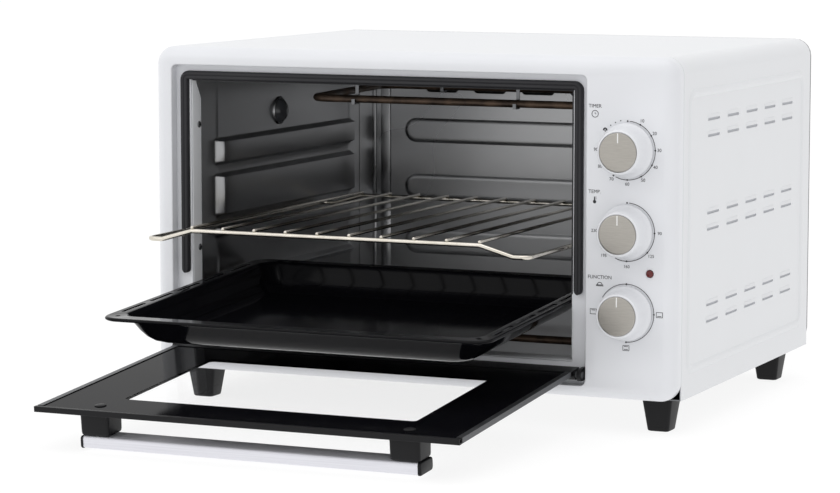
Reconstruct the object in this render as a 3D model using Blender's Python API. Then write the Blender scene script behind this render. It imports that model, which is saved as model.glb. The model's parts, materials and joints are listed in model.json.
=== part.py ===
"""Mini oven (toaster oven) with its door open, its rack and its baking tray drawn out.

Units are metres.  X runs to the right, Y to the rear, Z up.  The design frame has its
zero in the middle of the front face, on the floor; the empty "toaster_oven" moves all of
it so that the origin is the centre of the whole object's footprint.
"""
import bpy
import bmesh
from math import asin, cos, pi, radians, sin, tan
from mathutils import Matrix, Vector

# ---------------------------------------------------------------- driving dimensions
WIDTH = 0.500            # body, left to right
BODY_HEIGHT = 0.2942     # body without its feet
DEPTH = 0.388            # front face to rear panel
FOOT_HEIGHT = 0.031
CLEARANCE = 0.0003       # between pieces that touch
SHEET = 0.0010           # steel sheet
CORNER_RADIUS = 0.016    # long edges of the housing

FASCIA_DEPTH = 0.0195    # front moulding, back to the seam with the housing
FASCIA_ROUNDING = 0.012
FASCIA_WALL = 0.0030
FASCIA_RIM = 0.010       # solid border of the moulding
LEFT_MARGIN = 0.0183     # body edge to the door recess
TOP_MARGIN = 0.0162
BOTTOM_MARGIN = 0.0110
CONTROL_WIDTH = 0.081    # control panel, right of the recess
RECESS_DEPTH = 0.0095

OPENING_SIDE = 0.0163    # recess edge to the cavity opening
OPENING_TOP = 0.0143
SILL_HEIGHT = 0.0310     # opening's lower edge above the body's bottom
FRAME_END = 0.033        # rear end of the white jambs
GASKET_WIDTH = 0.0078
GASKET_GAP = 0.0056      # recess edge to the gasket
GASKET_DEPTH = 0.0047
GASKET_DROP = 0.176      # length of the gasket's side runs

CAVITY_BACK = 0.3635
CAVITY_FLOOR = 0.0240    # above the body's bottom
CAVITY_CEILING = 0.2685
RIB_DEPTH = 0.008
RIB_START = 0.050
RIB_END_GAP = 0.018      # rib end to the back wall
RIB_RAMP = 0.008

HINGE_Y = -0.002
HINGE_HEIGHT = 0.0207    # hinge axis above the body's bottom
DOOR_TILT = radians(4.5)  # below level when open
DOOR_SIDE_GAP = 0.0070   # recess edge to the door's edge
DOOR_TOP_GAP = 0.0039
DOOR_HEEL = 0.0075       # door below the hinge axis when shut
DOOR_FACE = 0.0050       # inner face of the door above the hinge axis
GLASS_THICKNESS = 0.0030
TRIM_WIDTH = 0.0055
PIN_RADIUS = 0.0030

HANDLE_SETBACK = 0.0205  # door's free edge to the middle of the handle
HANDLE_POST_INSET = 0.0520   # door's side edge to the middle of a post
POST_WIDTH = 0.028
POST_LENGTH = 0.026
POST_HEIGHT = 0.0200
BAR_HEIGHT = 0.0108
BAR_LENGTH_ALONG = 0.025  # bar's other thickness, along the door

RACK_WIRE = 0.0020       # radius of the frame wire
RACK_ROD = 0.0015        # radius of the cross wires
RACK_LENGTH = 0.349
RACK_PULL = 0.0811       # how far the rack stands out of the front face
RACK_HEIGHT = 0.1295     # side wires above the body's bottom
RACK_RISE = 0.0085
RACK_BEND = 0.044        # side wire to the raised part of an end bar
RACK_FLAT = 0.014        # level part of an end bar, next to its corner
RACK_ROD_COUNT = 10
RACK_SIDE_GAP = 0.0036   # opening edge to the middle of a side wire

TRAY_LENGTH = 0.300
TRAY_PULL = 0.170        # rim in front of the front face, measured along the tray
TRAY_RIM_HEIGHT = 0.0703  # front rim above the body's bottom
TRAY_TILT = radians(3.6)
TRAY_DEPTH = 0.027
TRAY_FLANGE = 0.013
TRAY_SHEET = 0.0011
TRAY_BEAD = 0.0030       # height of the rolled rim
TRAY_SIDE_GAP = 0.0033
TRAY_CORNER = 0.016

HEATER_RADIUS = 0.0035
HEATER_BEND = 0.024
HEATER_LEFT_GAP = 0.071  # left wall to the loop
UPPER_HEATER_DROP = 0.0247   # below the ceiling
LOWER_HEATER_RISE = 0.0165   # above the floor
UPPER_HEATER_Y = (0.112, 0.315)
UPPER_HEATER_SLANT = -0.022   # the loop's left end runs back at a slant
LOWER_HEATER_Y = (0.055, 0.280)
HEATER_COLD_END = 0.012  # rod outside the right wall

KNOB_INSET = 0.0435      # body's right edge to the knobs' axis
KNOB_SPACING = 0.0695
KNOB_DROP = 0.0014       # middle knob below the body's mid height
KNOB_BASE_RADIUS = 0.0235
KNOB_FACE_RADIUS = 0.0180
KNOB_LENGTH = 0.0240
KNOB_GAP = 0.0012        # knob to the panel
SHAFT_RADIUS = 0.0030
LAMP_RADIUS = 0.0032
LAMP_OFFSET = 0.021

FOOT_TOP = 0.027
FOOT_BOTTOM = 0.020
FOOT_SIDE = 0.0275       # body edge to a foot's middle
FOOT_FRONT = 0.047
FOOT_REAR = 0.032
GLAND_LENGTH = 0.010     # stands out of the rear panel

LIGHT_Y = 0.184          # cavity lamp
LIGHT_DROP = 0.043       # below the ceiling
LIGHT_RADIUS = 0.0115

# ---------------------------------------------------------------- values that follow
BODY_Z = FOOT_HEIGHT
TOP_Z = BODY_Z + BODY_HEIGHT
HALF = WIDTH / 2
RECESS_LEFT = -HALF + LEFT_MARGIN
RECESS_RIGHT = HALF - CONTROL_WIDTH
RECESS_LOW = BODY_Z + BOTTOM_MARGIN
RECESS_HIGH = TOP_Z - TOP_MARGIN
OPEN_LEFT = RECESS_LEFT + OPENING_SIDE
OPEN_RIGHT = RECESS_RIGHT - OPENING_SIDE
OPEN_LOW = BODY_Z + SILL_HEIGHT
OPEN_HIGH = RECESS_HIGH - OPENING_TOP
MID_X = (OPEN_LEFT + OPEN_RIGHT) / 2
WALL_LEFT = OPEN_LEFT - SHEET / 2
WALL_RIGHT = OPEN_RIGHT + SHEET / 2
FLOOR_Z = BODY_Z + CAVITY_FLOOR
CEILING_Z = BODY_Z + CAVITY_CEILING
WALL_START = FRAME_END + CLEARANCE
SIDE_INSIDE = HALF - SHEET * 1.5
HINGE_Z = BODY_Z + HINGE_HEIGHT
DOOR_LEFT = RECESS_LEFT + DOOR_SIDE_GAP
DOOR_RIGHT = RECESS_RIGHT - DOOR_SIDE_GAP
DOOR_LENGTH = RECESS_HIGH - DOOR_TOP_GAP - HINGE_Z
RACK_Z = BODY_Z + RACK_HEIGHT
RACK_LEFT = OPEN_LEFT + RACK_SIDE_GAP
RACK_RIGHT = OPEN_RIGHT - RACK_SIDE_GAP
KNOB_X = HALF - KNOB_INSET
KNOB_MID_Z = BODY_Z + BODY_HEIGHT / 2 - KNOB_DROP
KNOB_Z = {"timer": KNOB_MID_Z + KNOB_SPACING,
          "thermostat": KNOB_MID_Z,
          "function": KNOB_MID_Z - KNOB_SPACING}
UPPER_HEATER_Z = CEILING_Z - UPPER_HEATER_DROP
LOWER_HEATER_Z = FLOOR_Z + LOWER_HEATER_RISE
TRAY_TIP = Vector((0, -TRAY_PULL * cos(TRAY_TILT), BODY_Z + TRAY_RIM_HEIGHT))
FRONT_Y = HINGE_Y - DOOR_LENGTH * cos(DOOR_TILT) - DOOR_FACE * sin(DOOR_TILT)
REAR_Y = DEPTH + GLAND_LENGTH
ORIGIN_Y = -(FRONT_Y + REAR_Y) / 2


# ---------------------------------------------------------------- scene and materials
def clear_scene():
    for item in list(bpy.data.objects):
        bpy.data.objects.remove(item, do_unlink=True)


def material(name, colour, roughness, metallic=0.0, alpha=1.0):
    made = bpy.data.materials.new(name)
    made.use_nodes = True
    shader = made.node_tree.nodes["Principled BSDF"]
    shader.inputs["Base Color"].default_value = (*colour, 1.0)
    shader.inputs["Roughness"].default_value = roughness
    shader.inputs["Metallic"].default_value = metallic
    shader.inputs["Alpha"].default_value = alpha
    return made


def make_materials():
    return {
        "white_enamel": material("white_enamel", (0.86, 0.87, 0.88), 0.30),
        "white_plastic": material("white_plastic", (0.86, 0.86, 0.86), 0.35),
        "black_plastic": material("black_plastic", (0.02, 0.02, 0.02), 0.45),
        "black_enamel": material("black_enamel", (0.01, 0.01, 0.01), 0.12),
        "gasket_rubber": material("gasket_rubber", (0.02, 0.02, 0.025), 0.7),
        "cavity_steel": material("cavity_steel", (0.30, 0.31, 0.32), 0.3, 0.9),
        "zinc_steel": material("zinc_steel", (0.55, 0.56, 0.58), 0.4, 0.9),
        "chrome_wire": material("chrome_wire", (0.80, 0.79, 0.76), 0.15, 1.0),
        "heater_sheath": material("heater_sheath", (0.10, 0.07, 0.05), 0.45, 0.7),
        "ceramic": material("ceramic", (0.85, 0.83, 0.78), 0.6),
        "brass_contact": material("brass_contact", (0.75, 0.58, 0.28), 0.35, 1.0),
        "door_glass": material("door_glass", (0.03, 0.03, 0.03), 0.05, 0.0, 0.5),
        "trim_grey": material("trim_grey", (0.45, 0.46, 0.47), 0.4, 0.6),
        "handle_bar": material("handle_bar", (0.82, 0.83, 0.84), 0.3, 0.5),
        "knob_cap": material("knob_cap", (0.42, 0.40, 0.37), 0.35, 0.8),
        "lamp_red": material("lamp_red", (0.20, 0.01, 0.01), 0.2),
        "clear_glass": material("clear_glass", (0.85, 0.87, 0.88), 0.05, 0.0, 0.4),
        "bakelite": material("bakelite", (0.10, 0.07, 0.05), 0.5),
        "wire_cover": material("wire_cover", (0.35, 0.36, 0.40), 0.6),
    }


def node(name, mesh_data, parent, slot, smooth=True):
    """One named object; its mesh is already in the parent's frame."""
    item = bpy.data.objects.new(name, mesh_data)
    bpy.context.scene.collection.objects.link(item)
    item.parent = parent
    item.data.materials.append(MATERIALS[slot])
    if smooth:
        item.data.shade_smooth()
        item.data.set_sharp_from_angle(angle=radians(32))
    return item


def empty(name, location, rotation_x=0.0, parent=None):
    item = bpy.data.objects.new(name, None)
    bpy.context.scene.collection.objects.link(item)
    item.parent = parent
    item.location = location
    item.rotation_euler = (rotation_x, 0.0, 0.0)
    return item


def combine(item, tool_mesh, name, operation):
    """Boolean with a hidden mesh given in the item's own frame; it stays live."""
    tool = bpy.data.objects.new(name, tool_mesh)
    bpy.context.scene.collection.objects.link(tool)
    tool.parent = item.parent
    tool.hide_render = True
    tool.display_type = "WIRE"
    modifier = item.modifiers.new(name, "BOOLEAN")
    modifier.operation = operation
    modifier.object = tool


def cut(item, cutter_mesh, name):
    combine(item, cutter_mesh, name, "DIFFERENCE")


def join(item, added_mesh, name):
    combine(item, added_mesh, name, "UNION")


# ---------------------------------------------------------------- mesh builders
def finish(bm, name):
    bmesh.ops.recalc_face_normals(bm, faces=bm.faces)
    mesh = bpy.data.meshes.new(name)
    bm.to_mesh(mesh)
    bm.free()
    return mesh


def add_box(bm, low, high):
    corners = [Vector((x, y, z)) for x in (low[0], high[0])
               for y in (low[1], high[1]) for z in (low[2], high[2])]
    verts = [bm.verts.new(c) for c in corners]
    for quad in ((0, 1, 3, 2), (4, 6, 7, 5), (0, 4, 5, 1), (2, 3, 7, 6), (0, 2, 6, 4), (1, 5, 7, 3)):
        bm.faces.new([verts[i] for i in quad])


def boxes(name, spans):
    bm = bmesh.new()
    for low, high in spans:
        add_box(bm, low, high)
    return finish(bm, name)


def rounded_rectangle(left, right, low, high, radius, steps=4):
    """Counter-clockwise outline in two coordinates."""
    points = []
    for cx, cy, start in ((right - radius, high - radius, 0), (left + radius, high - radius, 1),
                          (left + radius, low + radius, 2), (right - radius, low + radius, 3)):
        for k in range(steps + 1):
            angle = (start + k / steps) * pi / 2
            points.append((cx + radius * cos(angle), cy + radius * sin(angle)))
    return points


def place(axis, along, pair):
    """A point from its place along an axis and its two other coordinates."""
    if axis == "X":
        return Vector((along, pair[0], pair[1]))
    if axis == "Y":
        return Vector((pair[0], along, pair[1]))
    return Vector((pair[0], pair[1], along))


def add_loft(bm, rings, closed=False):
    """Skin a list of rings with equal point counts; open lofts get flat caps."""
    layers = [[bm.verts.new(p) for p in ring] for ring in rings]
    count = len(layers[0])
    pairs = list(zip(layers, layers[1:]))
    if closed:
        pairs.append((layers[-1], layers[0]))
    for first, second in pairs:
        for i in range(count):
            j = (i + 1) % count
            bm.faces.new((first[i], first[j], second[j], second[i]))
    if not closed:
        bm.faces.new(list(reversed(layers[0])))
        bm.faces.new(layers[-1])


def prism(name, axis, outline, start, end):
    bm = bmesh.new()
    add_loft(bm, [[place(axis, a, p) for p in outline] for a in (start, end)])
    return finish(bm, name)


def frame_prism(name, axis, outer, inner, start, end):
    """A ring of constant section: outline with an outline-shaped hole."""
    bm = bmesh.new()
    rings = [[place(axis, start, p) for p in outer], [place(axis, end, p) for p in outer],
             [place(axis, end, p) for p in inner], [place(axis, start, p) for p in inner]]
    add_loft(bm, rings, closed=True)
    return finish(bm, name)


def add_lathe(bm, profile, centre, axis, sides=24):
    """Turn (radius, place along the axis) pairs; a first and last radius of 0 close it."""
    layers = []
    for radius, along in profile:
        if radius == 0:
            pair = (centre[0], centre[1])
            layers.append([bm.verts.new(place(axis, along, pair))])
            continue
        ring = []
        for k in range(sides):
            angle = 2 * pi * k / sides
            pair = (centre[0] + radius * cos(angle), centre[1] + radius * sin(angle))
            ring.append(bm.verts.new(place(axis, along, pair)))
        layers.append(ring)
    pairs = list(zip(layers, layers[1:]))
    if profile[0][0] != 0:
        pairs.append((layers[-1], layers[0]))
    for first, second in pairs:
        for k in range(sides):
            j = (k + 1) % sides
            if len(first) == 1:
                bm.faces.new((first[0], second[j], second[k]))
            elif len(second) == 1:
                bm.faces.new((first[k], first[j], second[0]))
            else:
                bm.faces.new((first[k], first[j], second[j], second[k]))


def lathe(name, profile, centre, axis, sides=24):
    bm = bmesh.new()
    add_lathe(bm, profile, centre, axis, sides)
    return finish(bm, name)


def rod_profile(radius, start, end):
    return [(0, start), (radius, start), (radius, end), (0, end)]


def rods(name, radius, axis, centres, start, end, sides=12):
    bm = bmesh.new()
    for centre in centres:
        add_lathe(bm, rod_profile(radius, start, end), centre, axis, sides)
    return finish(bm, name)


def add_tube(bm, points, radii, sides=8, closed=False):
    """Sweep a circle along points; radii is one number or one for each point."""
    points = [Vector(p) for p in points]
    count = len(points)
    if not isinstance(radii, (list, tuple)):
        radii = [radii] * count
    normal = None
    rings = []
    for i, point in enumerate(points):
        before = points[i - 1] if closed or i else point
        after = points[(i + 1) % count] if closed or i < count - 1 else point
        tangent = (after - before).normalized()
        if normal is None:
            guide = Vector((0, 0, 1)) if abs(tangent.z) < 0.9 else Vector((0, 1, 0))
            normal = guide.cross(tangent).normalized()
        normal = (normal - tangent * normal.dot(tangent)).normalized()
        side = tangent.cross(normal)
        rings.append([point + (normal * cos(2 * pi * k / sides) + side * sin(2 * pi * k / sides)) * radii[i]
                      for k in range(sides)])
    add_loft(bm, rings, closed)


def round_path(corners, radius, steps=5, closed=False):
    """Replace each corner of a polyline by an arc of the radius given (one or per corner)."""
    corners = [Vector(c) for c in corners]
    count = len(corners)
    path = []
    for i, corner in enumerate(corners):
        if not closed and i in (0, count - 1):
            path.append(corner)
            continue
        inward = (corners[i - 1] - corner).normalized()
        outward = (corners[(i + 1) % count] - corner).normalized()
        half = inward.angle(outward) / 2
        reach = radius / tan(half)
        middle = corner + (inward + outward).normalized() * (radius / sin(half))
        start = corner + inward * reach - middle
        end = corner + outward * reach - middle
        turn = start.angle(end)
        for k in range(steps + 1):
            share = k / steps
            path.append(middle + (start * sin((1 - share) * turn) + end * sin(share * turn)) / sin(turn))
    return path


# ---------------------------------------------------------------- cabinet
def make_fascia(parent):
    """Front moulding: rounded block with the door recess, the opening and a hollow back."""
    bm = bmesh.new()
    rings = []
    steps = 4
    for k in range(steps + 1):
        angle = k / steps * pi / 2
        inset = FASCIA_ROUNDING * (1 - sin(angle))
        rings.append((inset, FASCIA_ROUNDING * (1 - cos(angle))))
    rings.append((0.0, FASCIA_DEPTH))
    layers = []
    for inset, y in rings:
        outline = rounded_rectangle(-HALF + inset, HALF - inset, BODY_Z + inset, TOP_Z - inset,
                                    CORNER_RADIUS - inset)
        layers.append([place("Y", y, p) for p in outline])
    add_loft(bm, layers)
    panel = node("front_panel", finish(bm, "front_panel"), parent, "white_plastic")
    ahead = -0.01
    behind = FASCIA_DEPTH + 0.01
    recess = rounded_rectangle(RECESS_LEFT, RECESS_RIGHT, RECESS_LOW, RECESS_HIGH, 0.005, 3)
    cut(panel, prism("recess", "Y", recess, ahead, RECESS_DEPTH), "recess_cut")
    room = SHEET + CLEARANCE
    cut(panel, boxes("opening", [((OPEN_LEFT - room, ahead, OPEN_LOW - room),
                                  (OPEN_RIGHT + room, behind, OPEN_HIGH + room))]), "opening_cut")
    door_back = RECESS_DEPTH + FASCIA_WALL
    cut(panel, boxes("door_pocket", [((-HALF + FASCIA_RIM, door_back, BODY_Z + FASCIA_RIM),
                                      (RECESS_RIGHT, behind, TOP_Z - FASCIA_RIM))]), "door_pocket_cut")
    cut(panel, boxes("control_pocket",
                     [((RECESS_RIGHT + FASCIA_WALL, FASCIA_WALL, BODY_Z + FASCIA_RIM),
                       (HALF - FASCIA_RIM, behind, TOP_Z - FASCIA_RIM))]), "control_pocket_cut")
    bm = bmesh.new()
    for z in KNOB_Z.values():
        add_lathe(bm, rod_profile(SHAFT_RADIUS + 0.0013, ahead, behind), (KNOB_X, z), "Y", 16)
    add_lathe(bm, rod_profile(LAMP_RADIUS + CLEARANCE, ahead, behind), (KNOB_X + LAMP_OFFSET, lamp_z()), "Y", 16)
    cut(panel, finish(bm, "control_holes"), "control_holes_cut")


def lamp_z():
    return (KNOB_Z["thermostat"] + KNOB_Z["function"]) / 2


def make_front_frame(parent):
    """White steel frame around the opening: a flange and a short tunnel."""
    back = RECESS_DEPTH + FASCIA_WALL + CLEARANCE
    outline = [(OPEN_LEFT, OPEN_LOW), (OPEN_RIGHT, OPEN_LOW), (OPEN_RIGHT, OPEN_HIGH), (OPEN_LEFT, OPEN_HIGH)]

    def grown(amount):
        signs = ((-1, -1), (1, -1), (1, 1), (-1, 1))
        return [(x + sx * amount, z + sz * amount) for (x, z), (sx, sz) in zip(outline, signs)]
    flange = 0.007
    bm = bmesh.new()
    section = [(0.0, RECESS_DEPTH + 0.0005), (SHEET, RECESS_DEPTH + 0.0005), (SHEET, back), (flange, back),
               (flange, back + SHEET), (SHEET, back + SHEET), (SHEET, FRAME_END), (0.0, FRAME_END)]
    add_loft(bm, [[place("Y", y, p) for p in grown(amount)] for amount, y in section], closed=True)
    node("cavity_front_frame", finish(bm, "cavity_front_frame"), parent, "white_enamel")


def louvre_spans(side):
    """Five slots in each of six rows, on one side of the housing."""
    spans = []
    slot_length = 0.0325
    slot_height = 0.0032
    first = 0.0832
    pitch = 0.0536
    rows = [0.2374, 0.2231, 0.1557, 0.1415, 0.0751, 0.0606]
    depth = 0.004
    for row in rows:
        for k in range(5):
            y = first + k * pitch * (DEPTH - 0.135) / 0.253
            z = BODY_Z + row * BODY_HEIGHT / 0.2942
            near, far = sorted((side * (HALF - depth), side * (HALF + depth)))
            spans.append(((near, y, z - slot_height / 2), (far, y + slot_length, z + slot_height / 2)))
    return spans


def make_housing(parent):
    """Painted steel cover: top and two sides bent from one sheet."""
    start = FASCIA_DEPTH + CLEARANCE
    end = DEPTH - SHEET - CLEARANCE * 2
    thickness = SHEET * 1.5

    def arch(inset):
        radius = CORNER_RADIUS - inset
        points = [(HALF - inset, BODY_Z)]
        for cx, first in ((HALF - CORNER_RADIUS, 0), (-HALF + CORNER_RADIUS, 1)):
            for k in range(6):
                angle = (first + k / 5) * pi / 2
                points.append((cx + radius * cos(angle), TOP_Z - CORNER_RADIUS + radius * sin(angle)))
        points.append((-HALF + inset, BODY_Z))
        return points
    outline = arch(0.0) + list(reversed(arch(thickness)))
    shell = node("housing_shell", prism("housing_shell", "Y", outline, start, end), parent, "white_enamel")
    cut(shell, boxes("louvres", louvre_spans(-1) + louvre_spans(1)), "louvre_cut")


def make_rear_panel(parent):
    outline = rounded_rectangle(-HALF, HALF, BODY_Z, TOP_Z, CORNER_RADIUS, 5)
    panel = node("rear_panel", prism("rear_panel", "Y", outline, DEPTH - SHEET, DEPTH), parent, "zinc_steel")
    spans = []
    for row in range(2):
        for k in range(8):
            x = MID_X - 0.1225 + k * 0.035
            z = TOP_Z - 0.150 - row * 0.018
            spans.append(((x - 0.012, DEPTH - 0.01, z - 0.0025), (x + 0.012, DEPTH + 0.01, z + 0.0025)))
    cut(panel, boxes("rear_vents", spans), "rear_vent_cut")
    cut(panel, lathe("gland_hole", rod_profile(0.0078, DEPTH - 0.01, DEPTH + 0.01), gland_centre(), "Y", 16),
        "gland_hole_cut")


def gland_centre():
    return (HALF - 0.055, BODY_Z + 0.045)


def make_cord_gland(parent):
    """Cord inlet: a flanged bush held in the rear panel, with its bore open."""
    bore = 0.0038
    profile = [(bore, DEPTH - 0.010), (0.0072, DEPTH - 0.010), (0.0095, DEPTH - 0.0085),
               (0.0095, DEPTH - SHEET - CLEARANCE), (0.0075, DEPTH - SHEET - CLEARANCE),
               (0.0075, DEPTH + CLEARANCE), (0.0110, DEPTH + CLEARANCE), (0.0105, DEPTH + 0.003),
               (0.0070, DEPTH + GLAND_LENGTH), (bore, DEPTH + GLAND_LENGTH)]
    node("cord_gland", lathe("cord_gland", profile, gland_centre(), "Y", 20), parent, "black_plastic")


def make_base(parent):
    start = FASCIA_DEPTH + CLEARANCE
    end = DEPTH - SHEET - CLEARANCE * 2
    edge = SIDE_INSIDE - CLEARANCE
    base = node("base_plate", boxes("base_plate", [((-edge, start, BODY_Z), (edge, end, BODY_Z + SHEET))]),
                parent, "zinc_steel", smooth=False)
    spans = []
    for row in range(3):
        for k in range(6):
            x = MID_X - 0.125 + k * 0.05
            y = 0.11 + row * (DEPTH - 0.22) / 2
            spans.append(((x - 0.015, y - 0.002, BODY_Z - 0.01), (x + 0.015, y + 0.002, BODY_Z + 0.01)))
    cut(base, boxes("base_vents", spans), "base_vent_cut")


def make_feet(parent):
    spots = {"front": FOOT_FRONT, "rear": DEPTH - FOOT_REAR}
    for end_name, y in spots.items():
        for side_name, x in (("left", -HALF + FOOT_SIDE), ("right", HALF - FOOT_SIDE)):
            rings = []
            levels = ((0.0, FOOT_BOTTOM / 2), (BODY_Z - 0.004, FOOT_TOP / 2), (BODY_Z - CLEARANCE, FOOT_TOP / 2))
            for z, half in levels:
                outline = rounded_rectangle(x - half, x + half, y - half, y + half, 0.003, 2)
                rings.append([place("Z", z, p) for p in outline])
            bm = bmesh.new()
            add_loft(bm, rings)
            name = f"foot_{end_name}_{side_name}"
            node(name, finish(bm, name), parent, "black_plastic")


def make_gasket(parent):
    """Rubber seal: an inverted U with round ends, proud of the recess floor."""
    left = RECESS_LEFT + GASKET_GAP + GASKET_WIDTH / 2
    right = RECESS_RIGHT - GASKET_GAP - GASKET_WIDTH / 2
    top = RECESS_HIGH - GASKET_GAP - GASKET_WIDTH / 2
    low = top - GASKET_DROP
    half = GASKET_WIDTH / 2
    back = RECESS_DEPTH - CLEARANCE
    front = back - GASKET_DEPTH
    outline = [(left - half, top + half), (left - half, low)]
    outline += [(left - half * cos(k * pi / 6), low - half * sin(k * pi / 6)) for k in range(1, 6)]
    outline += [(left + half, low), (left + half, top - half), (right - half, top - half), (right - half, low)]
    outline += [(right - half * cos(k * pi / 6), low - half * sin(k * pi / 6)) for k in range(1, 6)]
    outline += [(right + half, low), (right + half, top + half)]
    node("door_gasket", prism("door_gasket", "Y", outline, front, back), parent, "gasket_rubber")


# ---------------------------------------------------------------- cavity
def rib_levels():
    """Ribs of a side wall as (lower edge, upper edge), from the bottom up."""
    contact = RIB_START + RIB_RAMP
    flange_z = TRAY_TIP.z + (contact - TRAY_TIP.y) * tan(TRAY_TILT) - TRAY_BEAD / cos(TRAY_TILT)
    tray_ledge = flange_z - CLEARANCE
    rack_ledge = RACK_Z - RACK_WIRE - CLEARANCE
    upper = RACK_Z + 0.048
    return [(tray_ledge - 0.007, tray_ledge), (rack_ledge - 0.0105, rack_ledge),
            (rack_ledge + 0.009, upper - 0.002),
            (upper + 0.0066, upper + 0.0306)]


def make_side_wall(name, side, parent):
    """Pressed sheet with ribs that guide the rack and the tray."""
    surface = WALL_RIGHT if side > 0 else WALL_LEFT
    low = FLOOR_Z - SHEET
    high = CEILING_Z + SHEET
    shoulder = 0.0022
    stations = [(low, 0.0)]
    for rib_low, rib_high in rib_levels():
        stations += [(rib_low - shoulder * 0.5, 0.0), (rib_low + shoulder * 0.5, 0.8), (rib_low + shoulder * 1.2, 1.0),
                     (rib_high - shoulder * 0.3, 1.0), (rib_high, 0.85), (rib_high + CLEARANCE / 2, 0.0)]
    stations.append((high, 0.0))
    rib_end = CAVITY_BACK - RIB_END_GAP
    lengths = [(WALL_START, 0.0), (RIB_START, 0.0), (RIB_START + RIB_RAMP, 1.0),
               (rib_end - RIB_RAMP, 1.0), (rib_end, 0.0), (CAVITY_BACK + SHEET, 0.0)]
    bm = bmesh.new()
    layers = []
    for offset in (0.0, SHEET):
        grid = [[bm.verts.new((surface + side * (offset - RIB_DEPTH * rib * ramp), y, z))
                 for z, rib in stations] for y, ramp in lengths]
        layers.append(grid)
    rows = len(lengths)
    columns = len(stations)
    for grid in layers:
        for i in range(rows - 1):
            for j in range(columns - 1):
                bm.faces.new((grid[i][j], grid[i][j + 1], grid[i + 1][j + 1], grid[i + 1][j]))
    border = [(i, 0) for i in range(rows)] + [(rows - 1, j) for j in range(1, columns)]
    border += [(i, columns - 1) for i in reversed(range(rows - 1))] + [(0, j) for j in reversed(range(1, columns - 1))]
    near, far = layers
    for first, second in zip(border, border[1:] + border[:1]):
        bm.faces.new((near[first[0]][first[1]], near[second[0]][second[1]],
                      far[second[0]][second[1]], far[first[0]][first[1]]))
    return node(name, finish(bm, name), parent, "cavity_steel")


def stadium(left, right, low, high, steps=6):
    """Outline with round ends."""
    radius = (high - low) / 2
    middle = (high + low) / 2
    points = []
    for centre, start in ((right - radius, -pi / 2), (left + radius, pi / 2)):
        for k in range(steps + 1):
            angle = start + pi * k / steps
            points.append((centre + radius * cos(angle), middle + radius * sin(angle)))
    return points


def make_cavity(parent):
    left_wall = make_side_wall("cavity_left_wall", -1, parent)
    right_wall = make_side_wall("cavity_right_wall", 1, parent)
    x_low = WALL_LEFT + CLEARANCE
    x_high = WALL_RIGHT - CLEARANCE
    back_end = CAVITY_BACK + SHEET
    node("cavity_ceiling", boxes("cavity_ceiling", [((x_low, WALL_START, CEILING_Z), (x_high, back_end, CEILING_Z + SHEET))]),
         parent, "cavity_steel", smooth=False)
    node("cavity_floor", boxes("cavity_floor", [((x_low, WALL_START, FLOOR_Z - SHEET), (x_high, back_end, FLOOR_Z))]),
         parent, "cavity_steel", smooth=False)
    outline = [(x_low, FLOOR_Z + CLEARANCE), (x_high, FLOOR_Z + CLEARANCE),
               (x_high, CEILING_Z - CLEARANCE), (x_low, CEILING_Z - CLEARANCE)]
    back = node("cavity_back_wall", prism("cavity_back_wall", "Y", outline, CAVITY_BACK, back_end),
                parent, "cavity_steel", smooth=False)
    vents = []
    for k in range(5):
        x = MID_X + 0.010 + (k - 2) * 0.0515
        vents.append(((x - 0.0175, CAVITY_BACK - 0.01, CEILING_Z - 0.034),
                      (x + 0.0175, back_end + 0.01, CEILING_Z - 0.026)))
    cut(back, boxes("back_vents", vents), "back_vent_cut")
    bm = bmesh.new()
    for z, ys in ((UPPER_HEATER_Z, UPPER_HEATER_Y), (LOWER_HEATER_Z, LOWER_HEATER_Y)):
        for y in ys:
            add_lathe(bm, rod_profile(0.0053, WALL_RIGHT - 0.01, WALL_RIGHT + 0.01), (y, z), "X", 16)
    add_lathe(bm, rod_profile(0.0020, WALL_RIGHT - 0.01, WALL_RIGHT + 0.01), probe_hole(), "X", 12)
    cut(right_wall, finish(bm, "element_holes"), "element_hole_cut")
    cut(left_wall, lathe("lamp_hole", rod_profile(LIGHT_RADIUS - 0.0015, WALL_LEFT - 0.01, WALL_LEFT + 0.01),
                         light_centre(), "X", 20), "lamp_hole_cut")


def probe_hole():
    return (0.170, CEILING_Z - 0.046)


def light_centre():
    return (LIGHT_Y, CEILING_Z - LIGHT_DROP)


def heater_path(height, ys, slant, radius):
    end = WALL_RIGHT + HEATER_COLD_END
    left = WALL_LEFT + HEATER_LEFT_GAP
    corners = [(end, ys[0], height), (left, ys[0], height), (left + slant, ys[1], height), (end, ys[1], height)]
    return round_path(corners, radius, 6)


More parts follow.
